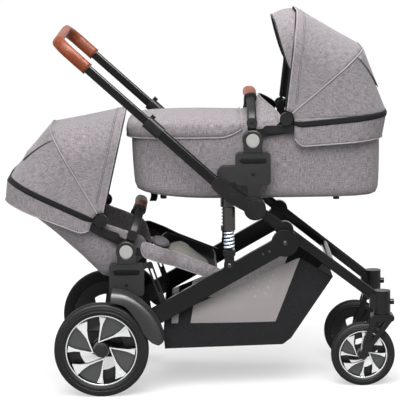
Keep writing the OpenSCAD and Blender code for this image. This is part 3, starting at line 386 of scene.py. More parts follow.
# Mouldings: glass-filled nylon with a sandblasted grain, screwed or riveted to the tubes.
# Knuckles, sockets and adapters are dark grey; shoes, rails, collars, casters and bars are black.
moulded = grained("dark_moulding", (0.013, 0.013, 0.0137), (0.021, 0.021, 0.022), 0.36, 700, 0.35,
                  Specular_IOR_Level=0.2)
black_tones = (0.006, 0.006, 0.006), (0.011, 0.0106, 0.0106)
moulded_black = grained("black_moulding", *black_tones, 0.34, 700, 0.3, Specular_IOR_Level=0.16)
bar_black = grained("bar_black", *black_tones, 0.55, 700, 0.3, Specular_IOR_Level=0.12)
dress(moulded, "moulding", 2.2, "knuckles", "cot_adapters", "seat_adapters", "seat_receivers")
dress(moulded_black, "moulding", 1.4, "arm_shoes", "caster_housings", "caster_fork_right",
      "caster_fork_left", "height_collars", "cot_rails", "seat_rails", "cot_feet", "brake_pedal",
      "receiver_braces", "cot_hood_front_bow", "cot_hood_middle_bow", "seat_hood_front_bow",
      "seat_hood_middle_bow")
dress(bar_black, "tube", 1.4, "cot_bar", "seat_bar")

# Buttons: silver painted caps that are pressed into the adapters, over the release latches,
# and black moulded knobs on the caster locks.
silver = grained("silver_cap", (0.33, 0.33, 0.315), (0.39, 0.39, 0.375), 0.55, 2400, 0.1,
                 Specular_IOR_Level=0.2)
dress(silver, "button", 1.6, "cot_button_right", "cot_button_left", "seat_button_right", "seat_button_left")
dress(moulded_black, "button", 1, "caster_lock_right", "caster_lock_left")

# Steel: the rear axle is turned and zinc plated, and carries both rear wheels. The pivot pins are
# turned and blackened, and hold the swing arms, struts and push arms.
steel = grained("zinc_steel", (0.30, 0.31, 0.32), (0.40, 0.41, 0.42), 0.32, 1200, 0.1, Metallic=1.0)
dress(steel, "steel", 0.8, "rear_axle")
dress(moulded_black, "steel", 0.8, "pivot_pins")


# Grips: stitched leatherette over foam, wrapped round the handlebar and the two safety bars,
# with a stitched seam on the inner side and a thin black ring at each end.
def as_piece(name, mesh, finishes, slot, body):
    """Makes a mesh a piece with its finishes, which rides on a body if one is given."""
    for finish in finishes:
        mesh.materials.append(finish)
    obj = bpy.data.objects.new(name, mesh)
    scene.collection.objects.link(obj)
    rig.slot(obj, slot)
    if body:
        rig.ride(obj, body)
    return obj


def keep(name, bm, finishes, slot, body):
    """Turns a mesh under construction into a smooth piece."""
    mesh = bpy.data.meshes.new(name)
    for face in bm.faces:
        face.smooth = True
    bm.to_mesh(mesh)
    bm.free()
    return as_piece(name, mesh, finishes, slot, body)


def paint(faces, finish):
    """Gives faces one of their piece's finishes, by number."""
    for face in faces:
        face.material_index = finish


def loft(bm, rings, finish=0):
    """Bridges closed rings of points into one skin with capped ends."""
    before = set(bm.faces)
    loops = []
    for ring in rings:
        made = bmesh.ops.create_circle(bm, cap_ends=False, radius=1, segments=len(ring))["verts"]
        for vert, point in zip(made, ring):
            vert.co = point
        loops.append(list({edge for vert in made for edge in vert.link_edges}))
    for first, second in zip(loops, loops[1:]):
        bmesh.ops.bridge_loops(bm, edges=first + second)
    for loop in (loops[0], loops[-1]):
        bmesh.ops.contextual_create(bm, geom=loop)
    made = [face for face in bm.faces if face not in before]
    bmesh.ops.recalc_face_normals(bm, faces=made)
    paint(made, finish)


def hoop(half, start, reach, bend, steps=8):
    """Points (along, across) of a U-shaped tube from the right leg over the top to the left leg."""
    leg = [(start + (reach - bend - start) * i / steps, -half) for i in range(steps)]
    turn = [(reach - bend + bend * sin(i * pi / 2 / steps), bend - half - bend * cos(i * pi / 2 / steps))
            for i in range(steps)]
    top = [(reach, (bend - half) * (1 - i / steps)) for i in range(steps)]
    right = leg + turn + top
    return right + [(reach, 0)] + [(s, -y) for s, y in reversed(right)]


def squared(value, power):
    """Pushes a sine or cosine outwards, which turns a round into a rounded oblong."""
    return copysign(abs(value) ** (2 / power), value)


def oval(centre, wide, deep, count=20, power=2.4):
    """A rounded oval ring about centre, from its two half-axes."""
    turns = [2 * pi * i / count for i in range(count)]
    return [centre + wide * squared(cos(turn), power) + deep * squared(sin(turn), power) for turn in turns]


leather, tree, shader = new_finish("cognac_leather", Specular_IOR_Level=0.12, Sheen_Weight=0.03)
place = add(tree, "TexCoord", {}).outputs["Object"]
pores = add(tree, "TexVoronoi", {"Vector": place, "Scale": 620}).outputs["Distance"]
worn = add(tree, "TexNoise", {"Vector": place, "Scale": 34, "Detail": 5}).outputs["Fac"]
feed(tree, shader, {"Base Color": between(tree, worn, (0.095, 0.019, 0.006), (0.30, 0.064, 0.019)),
                    "Roughness": spread(tree, worn, 0.52, 0.36, *drift_span),
                    "Normal": relief(tree, pores, 0.35, 0.5)})
thread = grained("brown_thread", (0.10, 0.030, 0.014), (0.17, 0.055, 0.026), 0.7, 2600, 0.6)
grip_crown_share = 0.03
stitch_pitch, stitch_r, stitch_stretch, stitch_proud = 6, 0.7, 3, 0.2
cuff_profile = ((0.98, -1), (1.02, -0.5), (1.02, 2.5), (0.94, 3))


def grip(name, node, body, origin, up, path, half_wide, half_deep):
    """A padded sleeve along a hoop: up is the hoop's direction, and its width lies across the pram."""
    across = Vector((0, 1, 0))
    deep = up.cross(across)
    points = [origin + (up * s + across * y) * mm for s, y in path]
    bm = bmesh.new()
    rings, stitches = [], []
    for i, point in enumerate(points):
        ahead = (points[min(i + 1, len(points) - 1)] - points[max(i - 1, 0)]).normalized()
        side = ahead.cross(deep).normalized()
        crown = 1 + grip_crown_share * sin(pi * i / (len(points) - 1))
        rings.append(oval(point, side * half_wide * crown * mm, deep * half_deep * crown * mm))
        stitches.append((point - side * (half_wide * crown + stitch_proud) * mm, ahead))
    loft(bm, rings)
    for ring, turn in ((rings[0], points[0] - points[1]), (rings[-1], points[-1] - points[-2])):
        centre = sum(ring, Vector()) / len(ring)
        cuff = [[centre + (p - centre) * grow + turn.normalized() * out * mm for p in ring]
                for grow, out in cuff_profile]
        loft(bm, cuff, finish=1)
    run = 0
    for (first, ahead), (second, _) in zip(stitches, stitches[1:]):
        length = (second - first).length
        lie = ahead.to_track_quat("Z", "Y").to_matrix().to_4x4() @ Matrix.Diagonal((1, 1, stitch_stretch, 1))
        while run < length:
            where = Matrix.Translation(first.lerp(second, run / length)) @ lie
            made = bmesh.ops.create_icosphere(bm, subdivisions=1, radius=stitch_r * mm, matrix=where)
            paint({face for vert in made["verts"] for face in vert.link_faces}, 2)
            run += stitch_pitch * mm
        run -= length
    obj = keep(name, bm, [leather, moulded_black, thread], "leather", body)
    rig.replaces(obj, node)
    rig.padded(obj, fill=0.9)


def middle_of(node):
    """The middle of a solid's box."""
    low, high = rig.box(node)
    return (low + high) / 2


cot_axis, seat_axis = middle_of("cot_button_right"), middle_of("seat_button_right")
seat_slope = radians(20)


def cot(a, y, b):
    """From the carrycot's own millimetres, about its button axis, to the shared frame."""
    return Vector((cot_axis.x + a * mm, y * mm, cot_axis.z + b * mm))


def seat(a, y, b):
    """From the seat's own millimetres, about its button axis, to the shared frame."""
    c, s = cos(seat_slope), sin(seat_slope)
    return Vector((seat_axis.x + (b * s - a * c) * mm, y * mm, seat_axis.z + (a * s + b * c) * mm))


arm_slope, arm_offset = radians(42.4), 18
arm_up = Vector((-cos(arm_slope), 0, sin(arm_slope)))
arm_drop = Vector((-sin(arm_slope), 0, -cos(arm_slope))) * arm_offset * mm
fold_axis = Vector((pivot["fold"].x, 0, pivot["fold"].z))
grip("handlebar_grip", "handle_grip", "handle", fold_axis + arm_drop, arm_up,
     hoop(half=258.5, start=664, reach=784, bend=58), half_wide=12.6, half_deep=19)
bar_foot_a, bar_foot_b, bar_base, bar_rise, bar_half = -2, 52, 10, 60, 219
bar_arch = [(bar_base + bar_rise * sin(turn), -bar_half * cos(turn))
            for turn in np.radians(np.linspace(64.3, 115.7, 25))]
for name, unit in (("cot", cot), ("seat", seat)):
    bar_foot = unit(bar_foot_a, 0, bar_foot_b)
    bar_up = (unit(bar_foot_a, 0, bar_foot_b + 1) - bar_foot).normalized()
    grip(name + "_bar_leather", name + "_bar_grip", name + "_bar", bar_foot, bar_up, bar_arch,
         half_wide=17.5, half_deep=19)

# Struts: satin black sleeves over a black rod, with a chromed coil spring of five turns between
# the sleeve and the rod's cup. The spring's chrome is given a light blue-white, mostly matt colour:
# its bright reflections are painted into that colour.
satin = grained("satin_sleeve", (0.020, 0.018, 0.017), (0.032, 0.029, 0.027), 0.30, 1500, 0.12,
                Specular_IOR_Level=0.45)
# Painted reflection: the light blue-white base stands in for the chrome spring's bright reflections.
spring_reflection_paint = grained("spring_painted_reflection", (0.46, 0.51, 0.62), (0.58, 0.63, 0.72), 0.45, 900, 0.05, rough_span=0.04,
                 Metallic=0.3, Specular_IOR_Level=0.3)
dress(satin, "strut", 1.5, "strut_sleeve_right", "strut_sleeve_left")
dress(moulded_black, "strut", 1.0, "strut_rod_right", "strut_rod_left")


def wire(name, points, radius, finish, slot, body, closed=False):
    """A round rod or sewn-in cord through points, as a mesh."""
    curve = put(bpy.data.curves.new(name, "CURVE"), dimensions="3D", bevel_depth=radius * mm,
                bevel_resolution=2, use_fill_caps=True)
    line = curve.splines.new("POLY")
    line.points.add(len(points) - 1)
    line.use_cyclic_u = closed
    for spot, point in zip(line.points, points):
        spot.co = (*point, 1)
    drawn = bpy.data.objects.new(name + "_line", curve)
    scene.collection.objects.link(drawn)
    mesh = bpy.data.meshes.new_from_object(drawn.evaluated_get(bpy.context.evaluated_depsgraph_get()))
    bpy.data.objects.remove(drawn)
    bpy.data.curves.remove(curve)
    mesh.shade_smooth()
    mesh.materials.clear()
    return as_piece(name, mesh, [finish], slot, body)


hands = {"right": -1, "left": 1}
spring_wire_r, spring_turns, points_per_turn = 3.6, 5, 28
for side in hands:
    low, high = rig.box("strut_spring_" + side)
    inset = spring_wire_r * mm
    coil_r = (high.y - low.y) / 2 - inset
    foot = Vector((*middle_of("strut_spring_" + side).xy, low.z + inset))
    pitch = (high.z - low.z - 2 * inset) / spring_turns
    coil = []
    for i in range(spring_turns * points_per_turn + 1):
        turn = 2 * pi * i / points_per_turn
        coil.append(foot + Vector((coil_r * cos(turn), coil_r * sin(turn), pitch * i / points_per_turn)))
    spring = wire("strut_coil_" + side, coil, spring_wire_r, spring_reflection_paint, "spring", "strut_rod_" + side)
    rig.replaces(spring, "strut_spring_" + side)
    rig.squash(spring, "suspension", axis=(0, 0, 1), anchor=tuple(foot), keep=0.93)

# Wheels: foamed rubber tyres with fine tread grooves and rings on the sidewall, pulled over two-tone
# rims with four V-shaped loops, machined bright on the face and black behind. Each pocket has a grey
# sunk floor that is painted shade, standing for the shaded floor seen through the open pocket.
rubber = grained("tyre_rubber", (0.008, 0.008, 0.008), (0.015, 0.0148, 0.0148), 0.6, 900, 0.4,
                 Specular_IOR_Level=0.1)
bright = grained("machined_face", (0.55, 0.555, 0.56), (0.68, 0.685, 0.69), 0.27, 1800, 0.1, Metallic=0.75)
rim_black = grained("rim_black", (0.007, 0.007, 0.007), (0.012, 0.012, 0.012), 0.3, 800, 0.2,
                    Specular_IOR_Level=0.25)
# Painted shade: the pockets' grey floors stand for the shaded floor seen through open pockets.
pocket_painted_shade = grained("pocket_painted_shade", (0.032, 0.0325, 0.034), (0.05, 0.0505, 0.053), 0.25, 800, 0.2,
                      Specular_IOR_Level=0.5)
rim_finishes = [bright, rim_black, pocket_painted_shade]
face_finish, back_finish, pocket_shade_finish = range(3)


def turned(bm, profile, steps=96, finish=0):
    """Spins (out, radius) points round the wheel's axle, which lies along Y."""
    verts = [bm.verts.new((0, -out * mm, radius * mm)) for out, radius in profile]
    edges = [bm.edges.new(pair) for pair in zip(verts, verts[1:])]
    before = set(bm.faces)
    bmesh.ops.spin(bm, geom=verts + edges, cent=(0, 0, 0), axis=(0, 1, 0), angle=2 * pi, steps=steps,
                   use_merge=True)
    made = [face for face in bm.faces if face not in before]
    bmesh.ops.remove_doubles(bm, verts=list({v for f in made for v in f.verts}), dist=0.001 * mm)
    made = [face for face in bm.faces if face not in before]
    bmesh.ops.recalc_face_normals(bm, faces=made)
    paint(made, finish)


shoulder_r, crown_drop = 9, 1.2
groove_shares, groove_half, groove_deep = (0.30, 0.56), 0.9, 2
ring_shares, ring_proud = (0.22, 0.62), 0.8


def tyre(radius, width, seat_r):
    """Half-round shoulders, three tread grooves, and two raised rings on each sidewall."""
    half = width / 2
    outer = [(0, radius - crown_drop), (groove_half, radius - crown_drop), (1.3, radius)]
    for share in groove_shares:
        at, brink = half * share, radius - 0.8 * share
        outer += [(at - 1.3, brink), (at - groove_half, radius - groove_deep),
                  (at + groove_half, radius - groove_deep), (at + 1.3, brink)]
    wall = radius - shoulder_r - crown_drop
    for turn in range(0, 91, 15):
        outer.append((half - shoulder_r + shoulder_r * sin(radians(turn)),
                      wall + shoulder_r * cos(radians(turn))))
    for share in ring_shares:
        at = wall - (wall - seat_r) * share
        outer += [(half, at + 2.2), (half + ring_proud, at + 1.2), (half + ring_proud, at - 1.2),
                  (half, at - 2.2)]
    outer += [(half - 0.6, seat_r + 3), (half - 3, seat_r), (0, seat_r)]
    return outer + [(-out, r) for out, r in reversed(outer[:-1])]


def sink(bm, face, depth):
    """Extrudes a face inwards along the axle; what was made, and which of its points moved."""
    made = bmesh.ops.extrude_face_region(bm, geom=[face])["geom"]
    moved = [part for part in made if isinstance(part, bmesh.types.BMVert)]
    bmesh.ops.translate(bm, verts=moved, vec=(0, depth * mm, 0))
    return made, moved


bar_deep, bar_edge = 15, 0.9
pocket_drop, pocket_frame, pocket_deep = 5, 6, 8
loop_tip_r, loop_tip_angle, loop_thin = 27, 106, 2
loop_bar_ends = ((87, 10.5), (35.5, 20))
loop_tip = ((-1, 0.4), (-0.6, 0.85), (0, 1), (0.6, 0.85), (1, 0.4))
pocket_brink_share = 0.1
pocket_ends, pocket_arc = (86, 35), (84, 72, 60, 48, 38)


def band(bm, stations, face_out, depth):
    """One flat bar of (centre, half-width) stations, extruded inwards, its front edges rounded."""
    edge = [c + w for c, w in stations] + [c - w for c, w in reversed(stations)]
    verts = [bm.verts.new((x * mm, -face_out * mm, z * mm)) for x, z in edge]
    _, moved = sink(bm, bm.faces.new(verts), depth)
    faces = {f for v in verts + moved for f in v.link_faces}
    bmesh.ops.recalc_face_normals(bm, faces=list(faces))
    front = [f for f in faces if all(v in verts for v in f.verts)]
    paint(faces, back_finish)
    paint(front, face_finish)
    bmesh.ops.bevel(bm, geom=[e for f in front for e in f.edges], offset=bar_edge * mm, segments=2,
                    profile=0.5, affect="EDGES", material=-1)


def polar(radius, angle):
    """A point seen from the side, from its distance to an axis and its angle in degrees."""
    return Vector((radius * cos(radians(angle)), radius * sin(radians(angle))))


def loop_bars(bm, rim_r, face_out, scale, turn):
    """A V-shaped loop: a narrow and a wide bar that meet near the hub and flare at the rim."""
    vertex = polar(loop_tip_r * scale, loop_tip_angle + turn)
    thin = loop_thin * scale
    tip = [(vertex + Vector((thin * c, 0)), Vector((0, thin * w))) for c, w in loop_tip]
    band(bm, tip, face_out, bar_deep * scale)
    for angle, rim_half in loop_bar_ends:
        end = polar(rim_r - 3 * scale, angle + turn)
        ahead = (end - vertex).normalized()
        flat = Vector((-ahead.y, ahead.x))
        wide = rim_half * scale
        flare = ((0, thin), (0.3, 1.1 * thin), (0.5, 1.5 * thin), (0.72, 0.42 * wide), (0.9, 0.8 * wide),
                 (1, wide))
        band(bm, [(vertex.lerp(end, t), flat * h) for t, h in flare], face_out, bar_deep * scale)
    start, end = (vertex.lerp(polar(rim_r, angle + turn), pocket_brink_share) for angle in pocket_ends)
    brink = [start, *(polar(rim_r - 1, angle + turn) for angle in pocket_arc), end]
    level = -(face_out - pocket_drop * scale) * mm
    face = bm.faces.new([bm.verts.new((p.x * mm, level, p.y * mm)) for p in brink])
    face.material_index = back_finish
    face.normal_update()
    bmesh.ops.inset_region(bm, faces=[face], thickness=pocket_frame * scale * mm, depth=0)
    # The pocket's sunk floor is painted shade: grey for the shaded floor seen through an open pocket.
    made, _ = sink(bm, face, pocket_deep * scale)
    paint([part for part in made if isinstance(part, bmesh.types.BMFace)], pocket_shade_finish)
    bmesh.ops.delete(bm, geom=[face], context="FACES_ONLY")


def rim(bm, seat_r, width, scale):
    """The barrel with its bright lip and inner wall, four loops, a hub and a domed black cap."""
    half = width / 2
    turned(bm, [(half - 4.4, seat_r - 4.2), (half - 3.0, seat_r - 3.6), (half - 2.6, seat_r - 2.8),
                (half - 2.6, seat_r - 1), (half - 4, seat_r - 0.2)], finish=face_finish)
    turned(bm, [(half - 4, seat_r - 0.2), (4 - half, seat_r - 0.2), (4 - half, 0.62 * seat_r),
                (6 - half, 0.62 * seat_r), (6 - half, seat_r - 8), (half - 9, seat_r - 5.5),
                (half - 4.4, seat_r - 4.2)], finish=back_finish)
    face_out = half - 6
    for turn in range(0, 360, 90):
        loop_bars(bm, seat_r - 4, face_out, scale, turn)
    turned(bm, [(face_out + 4, 0), (face_out + 3.4, 10 * scale), (face_out + 2.6, 14 * scale),
                (face_out + 1.6, 14.6 * scale), (face_out + 1.2, 18 * scale), (face_out - 1, 22.5 * scale),
                (face_out - 12, 25 * scale), (4 - half, 24 * scale), (4 - half, 9)], steps=48,
           finish=back_finish)


rim_seat_share = 0.76
for wheel, radius, width, scale in (("rear", 145, 44, 1.0), ("front", 99, 36, 0.72)):
    seat_r = rim_seat_share * radius
    for side, sign in hands.items():
        body = f"{wheel}_wheel_{side}"
        centre = pivot[body].copy()
        centre.y = middle_of(f"{wheel}_tyre_{side}").y
        for piece, finishes in (("tyre", [rubber]), ("rim", rim_finishes)):
            bm = bmesh.new()
            if piece == "tyre":
                turned(bm, tyre(radius, width, seat_r), steps=128)
            else:
                rim(bm, seat_r, width, scale)
            if sign > 0:
                bmesh.ops.scale(bm, vec=(1, -1, 1), verts=bm.verts)
                bmesh.ops.reverse_faces(bm, faces=bm.faces)
            bmesh.ops.translate(bm, vec=centre, verts=bm.verts)
            made = keep(f"{wheel}_{piece}_dressed_{side}", bm, finishes, piece, body)
            made.data.set_sharp_from_angle(angle=radians(32))
            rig.replaces(made, f"{wheel}_{piece}_{side}")

# Fenders: grey moulded shells over the rear tyres, with a deep outer cheek and a rounded shoulder,
# screwed to the outer faces of the seat receivers.
fender_grey = grained("fender_grey", (0.014, 0.0128, 0.014), (0.021, 0.0192, 0.021), 0.45, 700, 0.3,
                      Specular_IOR_Level=0.24)
fender_cheek = ((5, 163), (12, 148), (22, 138), (45, 144), (62, 155), (79, 151))
fender_crown = ((5, 195), (30, 192), (50, 190), (65, 190), (79, 184))
fender_from, fender_to, fender_stations = 5, 79, 48
fender_tip_blunt, fender_tip_span = 10, 4


def read_off(table, at):
    """A value from a table of (place, value)."""
    return float(np.interp(at, *zip(*table)))


def fender_section(angle):
    """The shell's closed outline at an angle round the axle: (radius, distance from the centre plane)."""
    blunt = fender_tip_blunt * max(0, 1 - (angle - fender_from) / fender_tip_span) ** 2
    cheek, crown = read_off(fender_cheek, angle) + blunt, read_off(fender_crown, angle) - blunt
    belly = (cheek + crown) / 2
    outside = [(cheek, 302.6), (cheek + 1, 304.2), (belly, 303.4), (crown - 12, 300.5), (crown - 5, 297),
               (crown - 1.5, 290), (crown, 282), (crown + 2, 262), (crown + 3, 244)]
    inside = [(crown, 244), (crown - 1, 262), (crown - 3, 281), (crown - 5, 287), (crown - 9, 292.5),
              (crown - 14, 297.5), (max(belly, 150), 301.4), (cheek + 1, 302)]
    return outside + inside


for side, sign in hands.items():
    stations = []
    for angle in np.linspace(fender_from, fender_to, fender_stations):
        ahead, up = polar(1, angle)
        stations.append([rear_axle + Vector((r * ahead, sign * y, r * up)) * mm
                         for r, y in fender_section(angle)])
    bm = bmesh.new()
    loft(bm, stations)
    shell = keep("fender_shell_" + side, bm, [fender_grey], "moulding", "rear_frame")
    shell.data.set_sharp_from_angle(angle=radians(50))
    if side == "right":
        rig.replaces(shell, "fenders")

# Small fittings: blackened screws driven in at the struts and on the swing arms, and near-black
# caps on the four sockets that take the adapters: painted shade that stands for their shaded slot openings.
black_screw = grained("black_screw", (0.035, 0.035, 0.036), (0.06, 0.06, 0.062), 0.3, 1200, 0.1,
                      Metallic=0.8)
# Painted shade: a near-black matt finish for caps that stand in for the sockets' shaded slot openings.
slot_painted_shade = grained("slot_painted_shade", (0.002, 0.002, 0.002), (0.004, 0.004, 0.004), 0.6, 700, 0.3,
                       Specular_IOR_Level=0.05)
screw_places = (("strut_top", 395, 254.5, 612, 13, "strut_sleeve_"),
                ("strut_foot", 395, 254, 395, 13, "strut_rod_"),
                ("arm_rear", 498, 244, 428, 8, None), ("arm_front", 518, 244, 436, 8, None),
                ("arm_pivot", 566, 244, 461, 12, None))
screw_proud = 2
throat_places = (("cot", cot_axis, 2, 62, "chassis"), ("seat", seat_axis, 0, 64, "rear_frame"))
throat_y, throat_wide, throat_tall, throat_proud, throat_power = 243, 78, 17, 0.8, 7


def low_cap(name, x, y, z, wide, tall, out, power, finish, slot, body):
    """A low cap that rises from an outer face at y."""
    way = copysign(mm, y)
    rings = [oval(Vector((x, y + lift * way, z)), Vector((wide / 2 * share * mm, 0, 0)),
                  Vector((0, 0, tall / 2 * share * mm)), 32, power)
             for lift, share in ((-0.5, 1), (0.6 * out, 1), (out, 0.86))]
    bm = bmesh.new()
    loft(bm, rings)
    made = keep(name, bm, [finish], slot, body)
    made.data.set_sharp_from_angle(angle=radians(40))


for side, sign in hands.items():
    for name, x, y, z, wide, strut in screw_places:
        low_cap(f"{name}_screw_{side}", rear_axle.x + x * mm, sign * y * mm, z * mm, wide, wide,
                screw_proud, 2, black_screw, "steel", strut + side if strut else "rear_frame")
    for name, axis, x, drop, body in throat_places:
        low_cap(f"{name}_socket_slot_shade_{side}", axis.x + x * mm, sign * throat_y * mm, axis.z - drop * mm,
                throat_wide, throat_tall, throat_proud, throat_power, slot_painted_shade, "moulding", body)

# Basket: a sling of black cloth hung between the swing arms, with see-through mesh windows in the sides
# above a deep black hem, a plain front panel, and a strap sewn down each side.
yarn, streak_stretch = 1.3 * mm, 0.07
weave, take, give = group("melange_weave", {"Vector": "Vector"}, {"Tone": "Float", "Height": "Float"})
counted = add(weave, "VectorMath", {0: take["Vector"], "Scale": 1 / yarn}, operation="SCALE").outputs[0]
streaks = []
for along in ((streak_stretch, 1, 0), (1, streak_stretch, 0)):
    drawn = add(weave, "VectorMath", {0: counted, 1: along}, operation="MULTIPLY").outputs[0]
    streaks.append(add(weave, "TexNoise", {"Vector": drawn, "Scale": 0.9, "Detail": 2}).outputs["Fac"])
spun = add(weave, "Mix", {"Factor": 0.5, 2: streaks[0], 3: streaks[1]}).outputs[0]


def crowns(tree, pattern, pitch):
    """Two sets of strands across each other: one on each strand's crown, and zero between strands."""
    scaled = add(tree, "VectorMath", {0: pattern, "Scale": pi / pitch}, operation="SCALE").outputs[0]
    split = add(tree, "SeparateXYZ", {0: scaled}).outputs
    return [calc(tree, "ABSOLUTE", calc(tree, "SINE", split[axis])) for axis in ("X", "Y")]


feed(weave, give, {"Tone": spread(weave, spun, 0, 1, 0.32, 0.68),
                   "Height": calc(weave, "MULTIPLY", *crowns(weave, take["Vector"], yarn))})
crease_scale, crease_strength, crease_deep, yarn_bump, yarn_deep = 11, 0.16, 8, 0.5, 0.5


def woven(name, dark, light, rough=0.92, sheen=0.2):
    """A woven finish between two yarn colours, with soft creases from wear and sewing."""
    material, tree, shader = new_finish(name, Roughness=rough, Sheen_Weight=sheen, Specular_IOR_Level=0.04)
    pattern = add(tree, "UVMap", {}, uv_map="cloth").outputs[0]
    made = add(tree, "Group", {"Vector": pattern}, node_tree=weave).outputs
    place = add(tree, "TexCoord", {}).outputs["Object"]
    creases = add(tree, "TexNoise", {"Vector": place, "Scale": crease_scale, "Detail": 3}).outputs["Fac"]
    soft = relief(tree, creases, crease_strength, crease_deep)
    feed(tree, shader, {"Base Color": between(tree, made["Tone"], dark, light),
                        "Normal": relief(tree, made["Height"], yarn_bump, yarn_deep, Normal=soft)})
    return material


def panel(name, spot, columns, rows, finishes, body, inside, thick=3.0, held=None, rests_on=(),
          wraps=False, finish_of=None, slot="cloth"):
    """A sewn sheet that spot(s, t) lays out, thickened inwards, with its last finish on the inner side.

    Its cutting pattern is kept as UV in metres, so that the yarns run straight along it.
    """
    bm = bmesh.new()
    bmesh.ops.create_grid(bm, x_segments=columns, y_segments=rows, size=0.5)
    laid = np.zeros((rows + 1, columns + 1, 3))
    places = {}
    for vert in bm.verts:
        key = round((vert.co.y + 0.5) * rows), round((vert.co.x + 0.5) * columns)
        places[vert] = key
        laid[key] = spot(key[1] / columns, key[0] / rows)
    for vert, key in places.items():
        vert.co = laid[key]
    across = np.cumsum(np.linalg.norm(np.diff(laid, axis=1, prepend=laid[:, :1]), axis=2), axis=1)
    along = np.cumsum(np.linalg.norm(np.diff(laid, axis=0, prepend=laid[:1]), axis=2), axis=0)
    across -= across[:, columns // 2][:, None]
    pattern = bm.loops.layers.uv.new("cloth")
    for face in bm.faces:
        if finish_of:
            row, column = np.mean([places[vert] for vert in face.verts], axis=0)
            face.material_index = finish_of(column / columns, row / rows)
        for corner in face.loops:
            key = places[corner.vert]
            corner[pattern].uv = (across[key], along[key])
    if wraps:
        bmesh.ops.remove_doubles(bm, verts=bm.verts, dist=0.01 * mm)
    bm.normal_update()
    if sum(f.normal.dot(f.calc_center_median() - Vector(inside)) * f.calc_area() for f in bm.faces) < 0:
        bmesh.ops.reverse_faces(bm, faces=bm.faces)
    area = sum(face.calc_area() for face in bm.faces)
    obj = keep(name, bm, finishes, slot, body)
    if thick:
        inner = len(finishes) - 1
        put(obj.modifiers.new("layer", "SOLIDIFY"), thickness=thick * mm, offset=-1, material_offset=inner,
            material_offset_rim=inner)
    if held:
        flat = float(np.ptp(across)), float(np.ptp(along))
        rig.sheet(obj, flat=flat, held=held, rests_on=rests_on, area=min(flat[0] * flat[1], area))
    return obj


basket_black = woven("basket_cloth", (0.010, 0.010, 0.011), (0.024, 0.024, 0.026), sheen=0.15)
open_mesh, tree, shader = new_finish("open_mesh", Base_Color=(0.27, 0.243, 0.247, 1), Roughness=0.85)
mesh_cell, mesh_gap_level = 1.7 * mm, 0.92
pattern = add(tree, "UVMap", {}, uv_map="cloth").outputs[0]
lower = calc(tree, "MINIMUM", *crowns(tree, pattern, mesh_cell))
feed(tree, shader, {"Alpha": calc(tree, "LESS_THAN", lower, mesh_gap_level)})
basket_hem, hem_share = 80, 0.25
basket_back_x, basket_back_half, basket_front_x, basket_front_half = 194, 225, 717, 166
basket_top_line = ((basket_back_x, 227), (612, 404), (basket_front_x, 340))
basket_low_line = ((basket_back_x, 131), (560, 131), (584, 149))
basket_columns, mesh_columns, strap_columns = 48, (2, 38), (4, 8)
side_bulge, side_tuck, floor_sag, front_bulge, rear_bulge = 7, 6, 5, 8, 4
side_inset, floor_inset, front_inset, rear_half = 3, 9, 4, 222


def frame_x(x):
    """From millimetres ahead of the rear axle to the shared frame."""
    return rear_axle.x + x * mm


def along_line(points, t):
    """A point at share t of a bent line, by length."""
    points = [Vector(p) for p in points]
    steps = [(b - a).length for a, b in zip(points, points[1:])]
    rest = t * sum(steps)
    for a, b, step in zip(points, points[1:], steps):
        if rest <= step or b is points[-1]:
            return a.lerp(b, min(rest / step, 1))
        rest -= step


def basket_half(x):
    """Half the basket's width, which narrows to the front."""
    ahead = (x - basket_back_x) / (basket_front_x - basket_back_x)
    return basket_back_half - (basket_back_half - basket_front_half) * ahead


def basket_side(sign):
    """One side wall: its hem takes the lowest rows, and its window bulges outwards."""
    def spot(s, t):
        low, top = along_line(basket_low_line, s), along_line(basket_top_line, s)
        hem = min(0.8, basket_hem / (top - low).length)
        above = (t - hem_share) / (1 - hem_share)
        x, z = low.lerp(top, t / hem_share * hem if t < hem_share else hem + above * (1 - hem))
        bulge = side_bulge * sin(pi * s) * sin(pi * min(1, t * 1.1)) - side_tuck * (1 - t) ** 3
        return frame_x(x), sign * (basket_half(x) - side_inset + bulge) * mm, z * mm
    return spot


def side_finish(s, t):
    """Mesh above the hem, from the rear edge to the front panel, with one black strap down it."""
    column = s * basket_columns
    strapped = strap_columns[0] < column < strap_columns[1]
    return 1 if t > hem_share and mesh_columns[0] < column < mesh_columns[1] and not strapped else 0


def basket_floor(s, t):
    """The floor between the two hems, which sags."""
    x, z = along_line(basket_low_line, t)
    sag = floor_sag * sin(pi * s) * sin(pi * t)
    return frame_x(x), (2 * s - 1) * (basket_half(x) - floor_inset) * mm, (z - sag) * mm


def basket_front(s, t):
    """The front panel, from the floor up towards the cross tube."""
    x, z = Vector(basket_low_line[-1]).lerp(Vector(basket_top_line[-1]), t)
    y = (2 * s - 1) * (basket_half(x) - front_inset)
    return frame_x(x + front_bulge * sin(pi * s) * sin(pi * t)), y * mm, z * mm


def basket_rear(s, t):
    """The low rear wall."""
    x, z = Vector(basket_low_line[0]).lerp(Vector(basket_top_line[0]), t)
    return frame_x(x - rear_bulge * sin(pi * t)), (2 * s - 1) * rear_half * mm, z * mm


basket_inside = (frame_x(420), 0, 0.26)
for side, sign in hands.items():
    panel("basket_side_" + side, basket_side(sign), basket_columns, 20, [basket_black, open_mesh], "chassis",
          basket_inside, thick=0, held="hung", rests_on=["swing_arms"], finish_of=side_finish,
          slot="basket_cloth")
for name, spot, rows, held, holder in (("basket_floor", basket_floor, 24, "hung", "swing_arms"),
                                       ("basket_front", basket_front, 12, "stretched", "front_legs"),
                                       ("basket_rear", basket_rear, 6, "hung", "swing_arms")):
    made = panel(name, spot, 20, rows, [basket_black], "chassis", basket_inside, held=held,
                 rests_on=[holder], slot="basket_cloth")
    if name == "basket_floor":
        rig.replaces(made, "basket")

